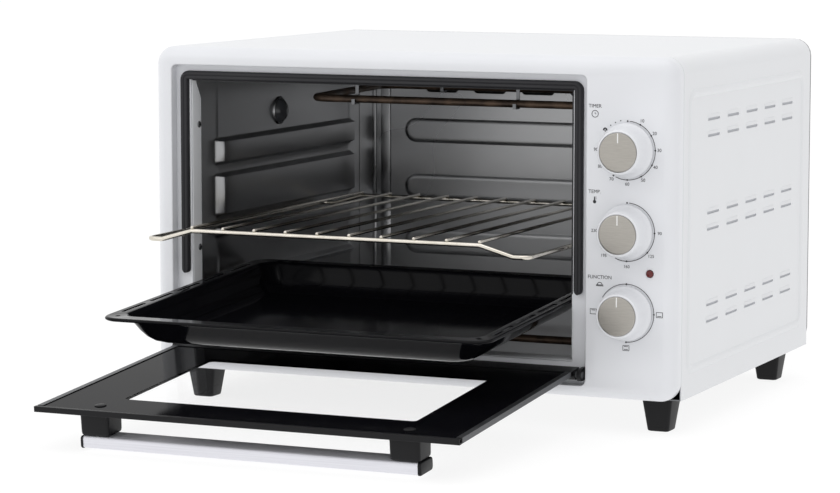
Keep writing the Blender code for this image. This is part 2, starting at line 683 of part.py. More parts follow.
def make_heaters(parent):
    loops = {"upper": (UPPER_HEATER_Z, UPPER_HEATER_Y, UPPER_HEATER_SLANT, 0.016),
             "lower": (LOWER_HEATER_Z, LOWER_HEATER_Y, 0.0, HEATER_BEND)}
    seat = WALL_RIGHT + SHEET + CLEARANCE
    for name, (height, ys, slant, radius) in loops.items():
        path = heater_path(height, ys, slant, radius)
        pin = Vector((0.012, 0, 0))
        step = Vector((0.0005, 0, 0))
        points = [path[0] + pin, path[0] + step] + path + [path[-1] + step, path[-1] + pin]
        radii = [0.0016, 0.0016] + [HEATER_RADIUS] * len(path) + [0.0016, 0.0016]
        bm = bmesh.new()
        add_tube(bm, points, radii, 10)
        node(f"{name}_heating_element", finish(bm, f"{name}_heating_element"), parent, "heater_sheath")
        plate = boxes(f"{name}_element_mount", [((seat, ys[0] - 0.011, height - 0.009),
                                                 (seat + SHEET, ys[1] + 0.011, height + 0.009))])
        mount = node(f"{name}_element_mount", plate, parent, "ceramic")
        bushes = bmesh.new()
        bores = bmesh.new()
        for y in ys:
            add_lathe(bushes, rod_profile(0.0050, WALL_RIGHT - 0.002, seat + 0.005), (y, height), "X", 16)
            add_lathe(bores, rod_profile(HEATER_RADIUS + CLEARANCE, seat - 0.02, seat + 0.02), (y, height), "X", 16)
        join(mount, finish(bushes, f"{name}_bushes"), f"{name}_bushes_join")
        cut(mount, finish(bores, f"{name}_bores"), f"{name}_bores_cut")
    make_hangers(parent)


def hook_outline(front, rear, high, level, reach, strap):
    """A strap under the ceiling with a J-shaped hook under each leg of the loop."""
    points = [(front + reach, high)]
    for y in (rear, front):
        points += [(y + reach + strap, high if y == rear else high - strap), (y + reach + strap, level - reach - strap),
                   (y - reach - strap, level - reach - strap), (y - reach - strap, level), (y - reach, level),
                   (y - reach, level - reach), (y + reach, level - reach)]
        if y == rear:
            points.append((y + reach, high - strap))
    return points


def saddle_outline(front, rear, low, level, reach, strap):
    """A strap on the floor with a saddle under each leg of the loop."""
    foot = 0.009
    points = [(front - foot, low), (rear + foot, low), (rear + foot, low + strap)]
    for y in (rear, front):
        points += [(y + reach + strap, low + strap), (y + reach + strap, level), (y + reach, level),
                   (y + reach, level - reach), (y - reach, level - reach), (y - reach, level),
                   (y - reach - strap, level), (y - reach - strap, low + strap)]
    points.append((front - foot, low + strap))
    return points


def make_hangers(parent):
    reach = HEATER_RADIUS + CLEARANCE
    strap = 0.0010
    half = 0.0016
    wide = 0.003
    high = CEILING_Z - CLEARANCE
    outline = hook_outline(*UPPER_HEATER_Y, high, UPPER_HEATER_Z, reach, strap)
    for side, x in (("left", MID_X - 0.070), ("right", MID_X + 0.090)):
        name = f"upper_element_hanger_{side}"
        node(name, prism(name, "X", outline, x - half, x + half), parent, "zinc_steel")
    low = FLOOR_Z + CLEARANCE
    outline = saddle_outline(*LOWER_HEATER_Y, low, LOWER_HEATER_Z, reach, strap)
    mesh = prism("lower_element_support", "X", outline, MID_X + 0.012 - wide, MID_X + 0.012 + wide)
    node("lower_element_support", mesh, parent, "zinc_steel")


def make_light(parent):
    """Cavity lamp: glass cover in the left wall, bulb and holder behind it."""
    wall = WALL_LEFT
    r = LIGHT_RADIUS
    neck = r - 0.0018
    cover = [(0, wall + 0.0085), (r * 0.55, wall + 0.0075), (r * 0.90, wall + 0.0045), (r, wall + CLEARANCE),
             (neck, wall + CLEARANCE), (neck, wall - 0.004), (neck - 0.0014, wall - 0.004),
             (neck - 0.0014, wall + 0.001), (r * 0.70, wall + 0.0040), (r * 0.42, wall + 0.0060), (0, wall + 0.0067)]
    node("lamp_cover", lathe("lamp_cover", cover, light_centre(), "X", 20), parent, "clear_glass")
    bulb = [(0, wall + 0.0040), (0.0030, wall + 0.0030), (0.0048, wall - 0.0010), (0.0048, wall - 0.006),
            (0.0030, wall - 0.0100), (0, wall - 0.0100)]
    node("lamp_bulb", lathe("lamp_bulb", bulb, light_centre(), "X", 16), parent, "clear_glass")
    holder = [(0, wall - 0.0103), (0.0065, wall - 0.0103), (0.0065, wall - 0.0060), (0.0125, wall - 0.0060),
              (0.0125, wall - 0.0075), (0.0085, wall - 0.0090), (0.0085, wall - 0.024), (0, wall - 0.024)]
    node("lamp_holder", lathe("lamp_holder", holder, light_centre(), "X", 16), parent, "ceramic")


# ---------------------------------------------------------------- controls
def make_controls(parent):
    start = FASCIA_DEPTH + CLEARANCE
    end = start + SHEET * 1.2
    low = KNOB_Z["function"] - 0.030
    high = KNOB_Z["timer"] + 0.030
    bracket = node("control_bracket",
                   boxes("control_bracket", [((RECESS_RIGHT + FASCIA_WALL + 0.0015, start, low), (HALF - 0.005, end, high))]),
                   parent, "zinc_steel", smooth=False)
    bm = bmesh.new()
    for z in KNOB_Z.values():
        add_lathe(bm, rod_profile(0.0060, start - 0.01, end + 0.01), (KNOB_X, z), "Y", 16)
    add_lathe(bm, rod_profile(LAMP_RADIUS + 0.0010, start - 0.01, end + 0.01), (KNOB_X + LAMP_OFFSET, lamp_z()), "Y", 16)
    cut(bracket, finish(bm, "bracket_holes"), "bracket_hole_cut")
    face = end + CLEARANCE

    def block(name, knob, half_x, half_z, length, slot):
        z = KNOB_Z[knob]
        outline = rounded_rectangle(KNOB_X - half_x, KNOB_X + half_x, z - half_z, z + half_z, 0.004, 3)
        item = node(name, prism(name, "Y", outline, face, face + length), parent, slot)
        cut(item, lathe(name + "_bore", rod_profile(SHAFT_RADIUS + 0.0004, face - 0.01, face + 0.0125),
                        (KNOB_X, z), "Y", 16), name + "_bore_cut")
        return face + length
    timer_end = block("timer_mechanism", "timer", 0.0205, 0.0205, 0.034, "zinc_steel")
    block("thermostat_body", "thermostat", 0.016, 0.020, 0.024, "bakelite")
    block("function_switch", "function", 0.018, 0.018, 0.030, "bakelite")
    bell_start = timer_end + CLEARANCE
    bell = [(0, bell_start), (0.004, bell_start), (0.004, bell_start + 0.004), (0.0165, bell_start + 0.002),
            (0.0172, bell_start + 0.003), (0.0150, bell_start + 0.0075), (0.008, bell_start + 0.0105),
            (0, bell_start + 0.0115)]
    node("timer_bell", lathe("timer_bell", bell, (KNOB_X, KNOB_Z["timer"]), "Y", 20), parent, "brass_contact")
    make_indicator(parent, face)
    make_probe(parent, face)
    make_wiring(parent, face)


def make_indicator(parent, face):
    centre = (KNOB_X + LAMP_OFFSET, lamp_z())
    lens = [(0, -0.0022), (LAMP_RADIUS * 0.6, -0.0018), (LAMP_RADIUS * 0.95, -0.0006), (LAMP_RADIUS, 0.0008),
            (LAMP_RADIUS, FASCIA_WALL + 0.004), (0, FASCIA_WALL + 0.004)]
    node("indicator_lens", lathe("indicator_lens", lens, centre, "Y", 16), parent, "lamp_red")
    start = FASCIA_WALL + 0.004 + CLEARANCE
    body = [(0, start), (0.0024, start), (0.0030, start + 0.003), (0.0030, face + 0.012), (0, face + 0.012)]
    node("indicator_lamp", lathe("indicator_lamp", body, centre, "Y", 12), parent, "clear_glass")


def make_probe(parent, face):
    """Thermostat bulb inside the cavity, on its capillary."""
    y_hole, z_hole = probe_hole()
    start = Vector((KNOB_X - 0.006, face + 0.024 + CLEARANCE, KNOB_Z["thermostat"] + 0.012))
    corners = [start, start + Vector((0, 0.022, 0)), Vector((WALL_RIGHT + 0.022, y_hole - 0.020, z_hole - 0.030)),
               Vector((WALL_RIGHT + 0.022, y_hole, z_hole)), Vector((WALL_RIGHT - 0.012, y_hole, z_hole)),
               Vector((WALL_RIGHT - 0.012, y_hole + 0.110, z_hole))]
    path = round_path(corners, 0.008, 4)
    bulb_start = path[-1] - Vector((0, 0.062, 0))
    path[-1:] = [bulb_start, bulb_start + Vector((0, 0.003, 0)), path[-1] - Vector((0, 0.003, 0)), path[-1]]
    thin = 0.0010
    radii = [thin] * (len(path) - 3) + [0.0028, 0.0028, 0.0012]
    bm = bmesh.new()
    add_tube(bm, path, radii, 8)
    node("thermostat_probe", finish(bm, "thermostat_probe"), parent, "brass_contact")


def make_wiring(parent, face):
    """Terminal block at the rear and the insulated wires of the control side."""
    x, z = gland_centre()
    block_y = DEPTH - 0.034
    node("terminal_block", boxes("terminal_block", [((x - 0.022, block_y, z - 0.009), (x + 0.006, block_y + 0.014, z + 0.009))]),
         parent, "ceramic", smooth=False)
    front = block_y - CLEARANCE
    switch_back = face + 0.030 + CLEARANCE
    z_switch = KNOB_Z["function"]
    z_thermostat = KNOB_Z["thermostat"]
    blade_x = WALL_RIGHT + HEATER_COLD_END + 0.012 + CLEARANCE
    thermostat_back = face + 0.024 + CLEARANCE
    trunk_x = KNOB_X + 0.012
    trunk_z = z + 0.010
    trunk_front = 0.100
    trunk_rear = DEPTH - 0.075
    bm = bmesh.new()
    add_tube(bm, [(trunk_x, trunk_front, trunk_z), (trunk_x, trunk_rear, trunk_z)], 0.0042, 10)
    harness = node("wiring_harness", finish(bm, "wiring_harness"), parent, "wire_cover")
    inner = Vector((trunk_x, trunk_rear - 0.006, trunk_z))
    fore = Vector((trunk_x, trunk_front + 0.006, trunk_z))
    lower_pin = (blade_x, LOWER_HEATER_Y[1], LOWER_HEATER_Z)
    upper_pin = (blade_x, UPPER_HEATER_Y[1], UPPER_HEATER_Z)
    routes = [
        [(x - 0.002, front, z), (x - 0.002, front - 0.022, z), inner],
        [(x - 0.014, front, z), (x - 0.014, front - 0.020, z), inner + Vector((0, -0.008, 0))],
        [fore, (KNOB_X + 0.010, switch_back + 0.012, z_switch + 0.004), (KNOB_X + 0.010, switch_back, z_switch + 0.004)],
        [fore + Vector((0, 0.008, 0)), (KNOB_X + 0.006, thermostat_back + 0.030, z_thermostat - 0.010),
         (KNOB_X + 0.006, thermostat_back, z_thermostat - 0.010)],
        [(trunk_x, LOWER_HEATER_Y[1] - 0.020, trunk_z), (blade_x + 0.014, LOWER_HEATER_Y[1], LOWER_HEATER_Z), lower_pin],
        [(trunk_x, UPPER_HEATER_Y[1] - 0.040, trunk_z), (blade_x + 0.014, UPPER_HEATER_Y[1], UPPER_HEATER_Z),
         upper_pin],
    ]
    for k, route in enumerate(routes):
        bm = bmesh.new()
        add_tube(bm, round_path(route, 0.006, 3), 0.0013, 8)
        join(harness, finish(bm, f"wire_{k}"), f"wire_join_{k}")


def make_knob(name, parent):
    """Knob with its cap and shaft; the parent empty is on the turning axis at the panel face."""
    base = -KNOB_GAP
    top = -KNOB_LENGTH
    skirt = [(0, base), (KNOB_BASE_RADIUS, base), (KNOB_BASE_RADIUS, base - 0.0020), (0.0222, base - 0.0045),
             (0.0200, top + 0.006), (KNOB_FACE_RADIUS + 0.0008, top + 0.0008), (KNOB_FACE_RADIUS, top),
             (KNOB_FACE_RADIUS - 0.0010, top), (KNOB_FACE_RADIUS - 0.0010, top + 0.0013), (0, top + 0.0013)]
    knob = node(f"{name}_knob", lathe(f"{name}_knob", skirt, (0, 0), "Y", 36), parent, "white_plastic")
    shaft_room = rod_profile(SHAFT_RADIUS + CLEARANCE, base - 0.014, base + 0.01)
    cut(knob, lathe(f"{name}_socket", shaft_room, (0, 0), "Y", 12), f"{name}_socket_cut")
    cap = [(0, top + 0.0010), (KNOB_FACE_RADIUS - 0.0013, top + 0.0010), (KNOB_FACE_RADIUS - 0.0013, top + 0.0003),
           (KNOB_FACE_RADIUS - 0.0020, top - 0.0002), (0, top - 0.0002)]
    node(f"{name}_knob_cap", lathe(f"{name}_knob_cap", cap, (0, 0), "Y", 28), parent, "knob_cap")
    shaft_end = FASCIA_DEPTH + SHEET * 1.2 + CLEARANCE * 2 + 0.0115
    node(f"{name}_shaft", lathe(f"{name}_shaft", rod_profile(SHAFT_RADIUS, base - 0.0135, shaft_end), (0, 0), "Y", 12),
         parent, "zinc_steel")


# ---------------------------------------------------------------- door
def door_profile_x(name, outline, start, end, parent, slot):
    """Extrude an outline of (distance from the hinge, height) pairs across the door."""
    bm = bmesh.new()
    add_loft(bm, [[Vector((a, -s, h)) for s, h in outline] for a in (start, end)])
    return node(name, finish(bm, name), parent, slot)


def make_door(pivot):
    """Door in the pivot's frame: -Y away from the hinge, +Z towards the cavity side."""
    top = DOOR_FACE
    lip = 0.0006
    grip = TRIM_WIDTH - 0.0010
    left = DOOR_LEFT
    right = DOOR_RIGHT
    free = DOOR_LENGTH
    heel = DOOR_HEEL
    slot = PIN_RADIUS + 0.0025
    inset = TRIM_WIDTH - grip + CLEARANCE
    face = top - lip - CLEARANCE
    underside = face - GLASS_THICKNESS
    glass = boxes("door_glass", [((left + inset, -(free - 0.0016), underside),
                                  (right - inset, -(slot + CLEARANCE), face))])
    node("door_glass", glass, pivot, "door_glass", smooth=False)
    bottom = underside - lip - CLEARANCE
    wall = 0.0009
    rail_start = 0.012
    for name, edge, sign in (("door_side_trim_left", left, 1), ("door_side_trim_right", right, -1)):
        section = [(0, top), (TRIM_WIDTH, top), (TRIM_WIDTH, top - lip), (wall, top - lip), (wall, bottom + lip),
                   (TRIM_WIDTH, bottom + lip), (TRIM_WIDTH, bottom), (0, bottom)]
        bm = bmesh.new()
        rings = [[Vector((edge + sign * a, -s, h)) for a, h in section]
                 for s in (rail_start + CLEARANCE, free - TRIM_WIDTH - CLEARANCE)]
        add_loft(bm, rings)
        node(name, finish(bm, name), pivot, "trim_grey")
    section = [(free, top), (free - 0.0040, top), (free - 0.0040, top - lip), (free - wall, top - lip),
               (free - wall, bottom + lip), (free - 0.0040, bottom + lip), (free - 0.0040, bottom), (free, bottom)]
    door_profile_x("door_top_trim", section, left, right, pivot, "trim_grey")
    barrel = 0.0046
    section = [(-heel, top), (rail_start, top), (rail_start, top - lip), (slot, top - lip), (slot, bottom + lip),
               (rail_start, bottom + lip), (rail_start, bottom)]
    first = asin(-bottom / barrel)
    arc = [first + (pi - 2 * first) * k / 8 for k in range(9)]
    section += [(barrel * cos(angle), -barrel * sin(angle)) for angle in arc]
    section.append((-heel, bottom))
    rail = door_profile_x("door_hinge_rail", section, left, right, pivot, "black_plastic")
    reach = RECESS_RIGHT - DOOR_RIGHT - 0.0012
    bore = lathe("rod_bore", rod_profile(PIN_RADIUS + CLEARANCE, left - 0.01, right + 0.01), (0, 0), "X", 16)
    cut(rail, bore, "rod_bore_cut")
    mesh = lathe("door_hinge_rod", rod_profile(PIN_RADIUS, left - reach, right + reach), (0, 0), "X", 12)
    node("door_hinge_rod", mesh, pivot, "zinc_steel")
    make_handle(pivot, underside)


def make_handle(pivot, underside):
    centre = DOOR_LENGTH - HANDLE_SETBACK
    top = underside - CLEARANCE
    low = top - POST_HEIGHT
    posts = {"handle_post_left": DOOR_LEFT + HANDLE_POST_INSET, "handle_post_right": DOOR_RIGHT - HANDLE_POST_INSET}
    bar_half = BAR_LENGTH_ALONG / 2
    for name, x in posts.items():
        rings = []
        for z, grow in ((top, 0.0), (low + 0.002, -0.0006), (low, -0.0014)):
            outline = rounded_rectangle(x - POST_WIDTH / 2 - grow, x + POST_WIDTH / 2 + grow,
                                        -centre - POST_LENGTH / 2 - grow, -centre + POST_LENGTH / 2 + grow, 0.003, 3)
            rings.append([place("Z", z, p) for p in outline])
        bm = bmesh.new()
        add_loft(bm, rings)
        node(name, finish(bm, name), pivot, "black_plastic")
    bar_top = low - CLEARANCE
    bar_low = bar_top - BAR_HEIGHT
    x_low = posts["handle_post_left"] - POST_WIDTH / 2
    x_high = posts["handle_post_right"] + POST_WIDTH / 2
    outline = rounded_rectangle(-centre - bar_half, -centre + bar_half, bar_low, bar_top, 0.002, 3)
    node("handle_bar", prism("handle_bar", "X", outline, x_low, x_high), pivot, "handle_bar")
    face = DOOR_FACE - 0.0006
    profile = [(0, face), (0.0050, face), (0.0050, face + 0.0004), (0.0034, face + 0.0012), (0, face + 0.0014)]
    for side in ("left", "right"):
        name = f"handle_screw_{side}"
        node(name, lathe(name, profile, (posts[f"handle_post_{side}"], -centre), "Z", 14), pivot, "black_plastic")


def make_hinge_ears(parent):
    """Two ears on the recess floor that carry the ends of the door's rod."""
    radius = 0.0055
    thickness = 0.0030
    hole = PIN_RADIUS + CLEARANCE
    back = RECESS_DEPTH - CLEARANCE
    gap = (RECESS_RIGHT - DOOR_RIGHT - thickness) / 2
    steps = 16
    for side, edge, sign in (("left", DOOR_LEFT, -1), ("right", DOOR_RIGHT, 1)):
        near, far = sorted((edge + sign * gap, edge + sign * (gap + thickness)))
        outer = []
        inner = []
        for k in range(steps):
            angle = 2 * pi * k / steps + pi / steps
            y = HINGE_Y + radius * cos(angle)
            z = HINGE_Z + radius * sin(angle)
            if cos(angle) > 0.0:
                y = back
                z = HINGE_Z + radius * sin(angle) / sin(pi / 2 - pi / steps)
            outer.append((y, z))
            inner.append((HINGE_Y + hole * cos(angle), HINGE_Z + hole * sin(angle)))
        name = f"hinge_ear_{side}"
        node(name, frame_prism(name, "X", outer, inner, near, far), parent, "black_plastic")


# ---------------------------------------------------------------- rack and tray
def rack_end_bar(y, direction):
    """Points of an end bar from one side to the other, raised in the middle."""
    high = RACK_Z + RACK_RISE
    points = [(RACK_LEFT, y, RACK_Z), (RACK_LEFT + RACK_FLAT, y, RACK_Z), (RACK_LEFT + RACK_BEND, y, high),
              (RACK_RIGHT - RACK_BEND, y, high), (RACK_RIGHT - RACK_FLAT, y, RACK_Z), (RACK_RIGHT, y, RACK_Z)]
    return points if direction > 0 else list(reversed(points))


def make_rack(parent):
    front = -RACK_PULL
    back = front + RACK_LENGTH
    corners = rack_end_bar(front, 1) + rack_end_bar(back, -1)
    bm = bmesh.new()
    add_tube(bm, round_path(corners, 0.007, 4, closed=True), RACK_WIRE, 8, closed=True)
    rack = node("wire_rack", finish(bm, "wire_rack"), parent, "chrome_wire")
    weld = 0.0005
    level = RACK_Z + RACK_RISE + RACK_WIRE + RACK_ROD - weld
    first = RACK_LEFT + RACK_BEND
    pitch = (RACK_RIGHT - RACK_BEND - first) / (RACK_ROD_COUNT - 1)
    centres = [(first + k * pitch, level) for k in range(RACK_ROD_COUNT)]
    overhang = 0.0012
    join(rack, rods("rack_rods", RACK_ROD, "Y", centres, front - overhang, back + overhang, 8), "rack_weld")


def make_tray(parent):
    """Enamelled tray, built level with its front rim at the origin, then tilted."""
    half = (OPEN_RIGHT - OPEN_LEFT) / 2 - TRAY_SIDE_GAP
    bowl = [(TRAY_FLANGE, 0.0), (TRAY_FLANGE + 0.004, -0.0025), (TRAY_FLANGE + 0.010, -TRAY_DEPTH * 0.45),
            (TRAY_FLANGE + 0.022, -TRAY_DEPTH * 0.88), (TRAY_FLANGE + 0.032, -TRAY_DEPTH + TRAY_SHEET)]
    upper = [(0.0012, 0.0)] + bowl
    lower = [(0.0004, -TRAY_BEAD + 0.0006), (0.0012, -TRAY_BEAD), (0.0024, -TRAY_BEAD + 0.0004),
             (0.0026, -TRAY_SHEET * 1.3), (TRAY_FLANGE - 0.0007, -TRAY_SHEET * 1.3),
             (TRAY_FLANGE + 0.0030, -0.0025 - TRAY_SHEET), (TRAY_FLANGE + 0.0088, -TRAY_DEPTH * 0.45 - TRAY_SHEET),
             (TRAY_FLANGE + 0.021, -TRAY_DEPTH * 0.88 - TRAY_SHEET), (TRAY_FLANGE + 0.032, -TRAY_DEPTH)]
    path = list(reversed(upper)) + [(0.0, -0.0010)] + lower
    tilt = Matrix.Rotation(TRAY_TILT, 4, "X")
    rings = []
    for inset, z in path:
        radius = max(TRAY_CORNER - inset * 0.15, 0.004)
        outline = rounded_rectangle(-half + inset, half - inset, inset, TRAY_LENGTH - inset, radius, 4)
        rings.append([tilt @ Vector((x, y, z)) + TRAY_TIP + Vector((MID_X, 0, 0)) for x, y in outline])
    bm = bmesh.new()
    add_loft(bm, rings)
    node("baking_tray", finish(bm, "baking_tray"), parent, "black_enamel")


# ---------------------------------------------------------------- assembly
def build():
    clear_scene()
    oven = empty("toaster_oven", (0, ORIGIN_Y, 0))
    make_fascia(oven)
    make_front_frame(oven)
    make_housing(oven)
    make_rear_panel(oven)
    make_cord_gland(oven)
    make_base(oven)
    make_feet(oven)
    make_gasket(oven)
    make_cavity(oven)
    make_heaters(oven)
    make_light(oven)
    make_controls(oven)
    make_hinge_ears(oven)
    make_rack(empty("rack_guide", (0, 0, 0), parent=oven))
    make_tray(empty("tray_guide", (0, 0, 0), parent=oven))
    make_door(empty("door_pivot", (0, HINGE_Y, HINGE_Z), DOOR_TILT, oven))
    for name, z in KNOB_Z.items():
        make_knob(name, empty(f"{name}_axis", (KNOB_X, 0, z), parent=oven))


MATERIALS = {}
clear_scene()
MATERIALS.update(make_materials())
build()
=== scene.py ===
"""Looks for the toaster oven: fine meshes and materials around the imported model."""
from math import cos, pi, radians, sin, tan

import bmesh
import bpy
from mathutils import Matrix, Vector
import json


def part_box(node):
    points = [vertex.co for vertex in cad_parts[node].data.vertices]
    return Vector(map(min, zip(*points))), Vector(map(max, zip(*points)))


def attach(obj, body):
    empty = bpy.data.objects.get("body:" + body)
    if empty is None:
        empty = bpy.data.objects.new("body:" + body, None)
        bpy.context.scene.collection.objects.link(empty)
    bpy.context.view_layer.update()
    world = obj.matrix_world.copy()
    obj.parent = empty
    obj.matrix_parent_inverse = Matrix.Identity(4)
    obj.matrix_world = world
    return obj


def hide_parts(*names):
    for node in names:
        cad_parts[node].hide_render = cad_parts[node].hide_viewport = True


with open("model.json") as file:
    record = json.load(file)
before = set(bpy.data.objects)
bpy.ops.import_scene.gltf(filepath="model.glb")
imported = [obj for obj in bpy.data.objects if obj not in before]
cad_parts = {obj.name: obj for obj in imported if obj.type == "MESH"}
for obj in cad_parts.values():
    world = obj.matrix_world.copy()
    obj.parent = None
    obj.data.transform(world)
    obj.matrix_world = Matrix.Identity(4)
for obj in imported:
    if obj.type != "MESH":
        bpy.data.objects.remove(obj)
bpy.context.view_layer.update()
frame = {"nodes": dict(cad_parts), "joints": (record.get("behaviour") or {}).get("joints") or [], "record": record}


# ---------------------------------------------------------------- places from the model
def span(node):
    low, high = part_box(node)
    return Vector(low), Vector(high)


def middle_of(node):
    return sum(span(node), Vector()) / 2


PANEL_LOW, PANEL_HIGH = span("front_panel")
FACE_Y = PANEL_LOW.y
SEAM_Y = PANEL_HIGH.y
BODY_Z = PANEL_LOW.z
TOP_Z = PANEL_HIGH.z
HALF = PANEL_HIGH.x
BACK_Y = span("rear_panel")[1].y
FRAME_LOW, FRAME_HIGH = span("cavity_front_frame")
GASKET_LOW, GASKET_HIGH = span("door_gasket")
CLEAR = 0.0003
SHEET = 0.0010
OPEN_LEFT = FRAME_LOW.x + 0.007
OPEN_RIGHT = FRAME_HIGH.x - 0.007
OPEN_LOW = FRAME_LOW.z + 0.007
OPEN_HIGH = FRAME_HIGH.z - 0.007
MID_X = (OPEN_LEFT + OPEN_RIGHT) / 2
RECESS_LEFT = GASKET_LOW.x - 0.0056
RECESS_RIGHT = GASKET_HIGH.x + 0.0056
RECESS_LOW = BODY_Z + 0.011
RECESS_HIGH = GASKET_HIGH.z + 0.0056
RECESS_Y = GASKET_HIGH.y + CLEAR
WALL_LEFT = OPEN_LEFT - SHEET / 2
WALL_RIGHT = OPEN_RIGHT + SHEET / 2
CAVITY_Y = span("cavity_back_wall")[0].y
WALL_Y = span("cavity_left_wall")[0].y
FLOOR_Z = span("cavity_floor")[1].z
CEILING_Z = span("cavity_ceiling")[0].z
HINGE = next(Vector(joint["pos_m"]) for joint in frame["joints"] if joint["name"] == "door_hinge")
DOOR_TILT = radians(4.5)
DOOR_SPIN = Matrix.Translation(HINGE) @ Matrix.Rotation(DOOR_TILT, 4, "X")
TRAY_TILT = radians(3.6)
TRAY_TIP_Z = BODY_Z + 0.0703
RACK_LEVEL = BODY_Z + 0.1295
KNOBS = {name: middle_of(f"{name}_knob") for name in ("timer", "thermostat", "function")}


# ---------------------------------------------------------------- materials
def shader_of(made):
    return made.node_tree.nodes["Principled BSDF"]


def add_node(made, kind, **values):
    item = made.node_tree.nodes.new(kind)
    for name, value in values.items():
        if hasattr(item, name):
            setattr(item, name, value)
        else:
            item.inputs[name].default_value = value
    return item


def link(made, source, output, target, entry):
    made.node_tree.links.new(source.outputs[output], target.inputs[entry])


def coordinates(made, scale=(1, 1, 1)):
    source = add_node(made, "ShaderNodeTexCoord")
    mapping = add_node(made, "ShaderNodeMapping")
    mapping.inputs["Scale"].default_value = scale
    link(made, source, "Object", mapping, "Vector")
    return mapping


def ramp(made, source, output, stops):
    item = add_node(made, "ShaderNodeValToRGB")
    item.color_ramp.elements[0].position = stops[0][0]
    item.color_ramp.elements[0].color = (*stops[0][1], 1)
    item.color_ramp.elements[1].position = stops[-1][0]
    item.color_ramp.elements[1].color = (*stops[-1][1], 1)
    for position, colour in stops[1:-1]:
        item.color_ramp.elements.new(position).color = (*colour, 1)
    link(made, source, output, item, "Fac")
    return item


def grey(value):
    return (value, value, value)


def principled(name, colour, roughness, metallic=0.0, **extra):
    made = bpy.data.materials.new(name)
    made.use_nodes = True
    shader = shader_of(made)
    shader.inputs["Base Color"].default_value = (*colour, 1)
    shader.inputs["Roughness"].default_value = roughness
    shader.inputs["Metallic"].default_value = metallic
    for key, value in extra.items():
        shader.inputs[key.replace("_", " ")].default_value = value
    return made


def add_bump(made, source, output, strength, distance):
    bump = add_node(made, "ShaderNodeBump", Strength=strength, Distance=distance)
    link(made, source, output, bump, "Height")
    link(made, bump, "Normal", shader_of(made), "Normal")


def noise(made, scale, detail=4.0, stretch=(1, 1, 1)):
    item = add_node(made, "ShaderNodeTexNoise", Scale=scale, Detail=detail)
    link(made, coordinates(made, stretch), "Vector", item, "Vector")
    return item


def drive(made, entry, source, output, stops):
    """A texture drives one entry of the surface."""
    link(made, ramp(made, source, output, stops), "Color", shader_of(made), entry)


def varied(made, texture, low, high, rough_low, rough_high):
    """Colour and roughness vary with a texture."""
    drive(made, "Base Color", texture, "Fac", [(0.3, low), (0.7, high)])
    drive(made, "Roughness", texture, "Fac", [(0.3, grey(rough_low)), (0.7, grey(rough_high))])


def painted(name, colour, roughness, grain=900.0, strength=0.05, coat=0.0):
    """Powder coat or moulded surface: fine orange peel and faint tone changes."""
    made = principled(name, colour, roughness, Coat_Weight=coat, Coat_Roughness=0.12)
    shade = noise(made, 14.0, 3.0)
    low = tuple(c * 0.975 for c in colour)
    varied(made, shade, low, colour, roughness * 0.9, roughness * 1.12)
    peel = noise(made, grain, 2.0)
    add_bump(made, peel, "Fac", strength, 0.0002)
    return made


def brushed(name, low, high, rough, stretch, strength=0.12):
    """Metal with fine parallel scratches along the axis that stretch keeps small."""
    made = principled(name, high, rough, 1.0)
    lines = noise(made, 60.0, 6.0, stretch)
    varied(made, lines, low, high, rough * 0.75, rough * 1.3)
    add_bump(made, lines, "Fac", strength, 0.0001)
    return made


PAINTS = (
    ("white_enamel", "oven_white_paint", (0.77, 0.78, 0.80), 0.40, 1500.0, 0.04),
    ("white_plastic", "oven_white_moulding", (0.77, 0.78, 0.81), 0.32, 2200.0, 0.03),
    ("black_plastic", "black_moulding", (0.009, 0.009, 0.010), 0.42, 1800.0, 0.10),
    ("gasket_rubber", "seal_rubber", (0.011, 0.011, 0.014), 0.60, 2600.0, 0.08),
    ("bakelite", "brown_moulding", (0.07, 0.045, 0.03), 0.42, 900.0, 0.10),
    ("wire_cover", "wire_sleeve", (0.30, 0.31, 0.36), 0.60, 1800.0, 0.20),
    ("ceramic", "steatite", (0.78, 0.75, 0.68), 0.55, 1400.0, 0.15),
    ("ink", "dial_ink", (0.022, 0.022, 0.026), 0.60, 2000.0, 0.02),
    ("pointer", "pointer_white", (0.90, 0.90, 0.89), 0.40, 2000.0, 0.02),
    # The next three rows are painted shade: the grey seen inside the side louvre slots, the grey in the seam
    # behind the front moulding, and the black in shaded recesses and gaps.
    ("louvre_painted_shade", "louvre_painted_shade", (0.50, 0.51, 0.54), 0.6, 900.0, 0.05),
    ("seam_painted_shade", "seam_painted_shade", (0.22, 0.225, 0.24), 0.6, 900.0, 0.05),
    ("shadow_gap", "painted_shadow_black", (0.01, 0.01, 0.01), 0.8, 900.0, 0.05),
)   # slot, name, colour, roughness, grain scale, grain strength


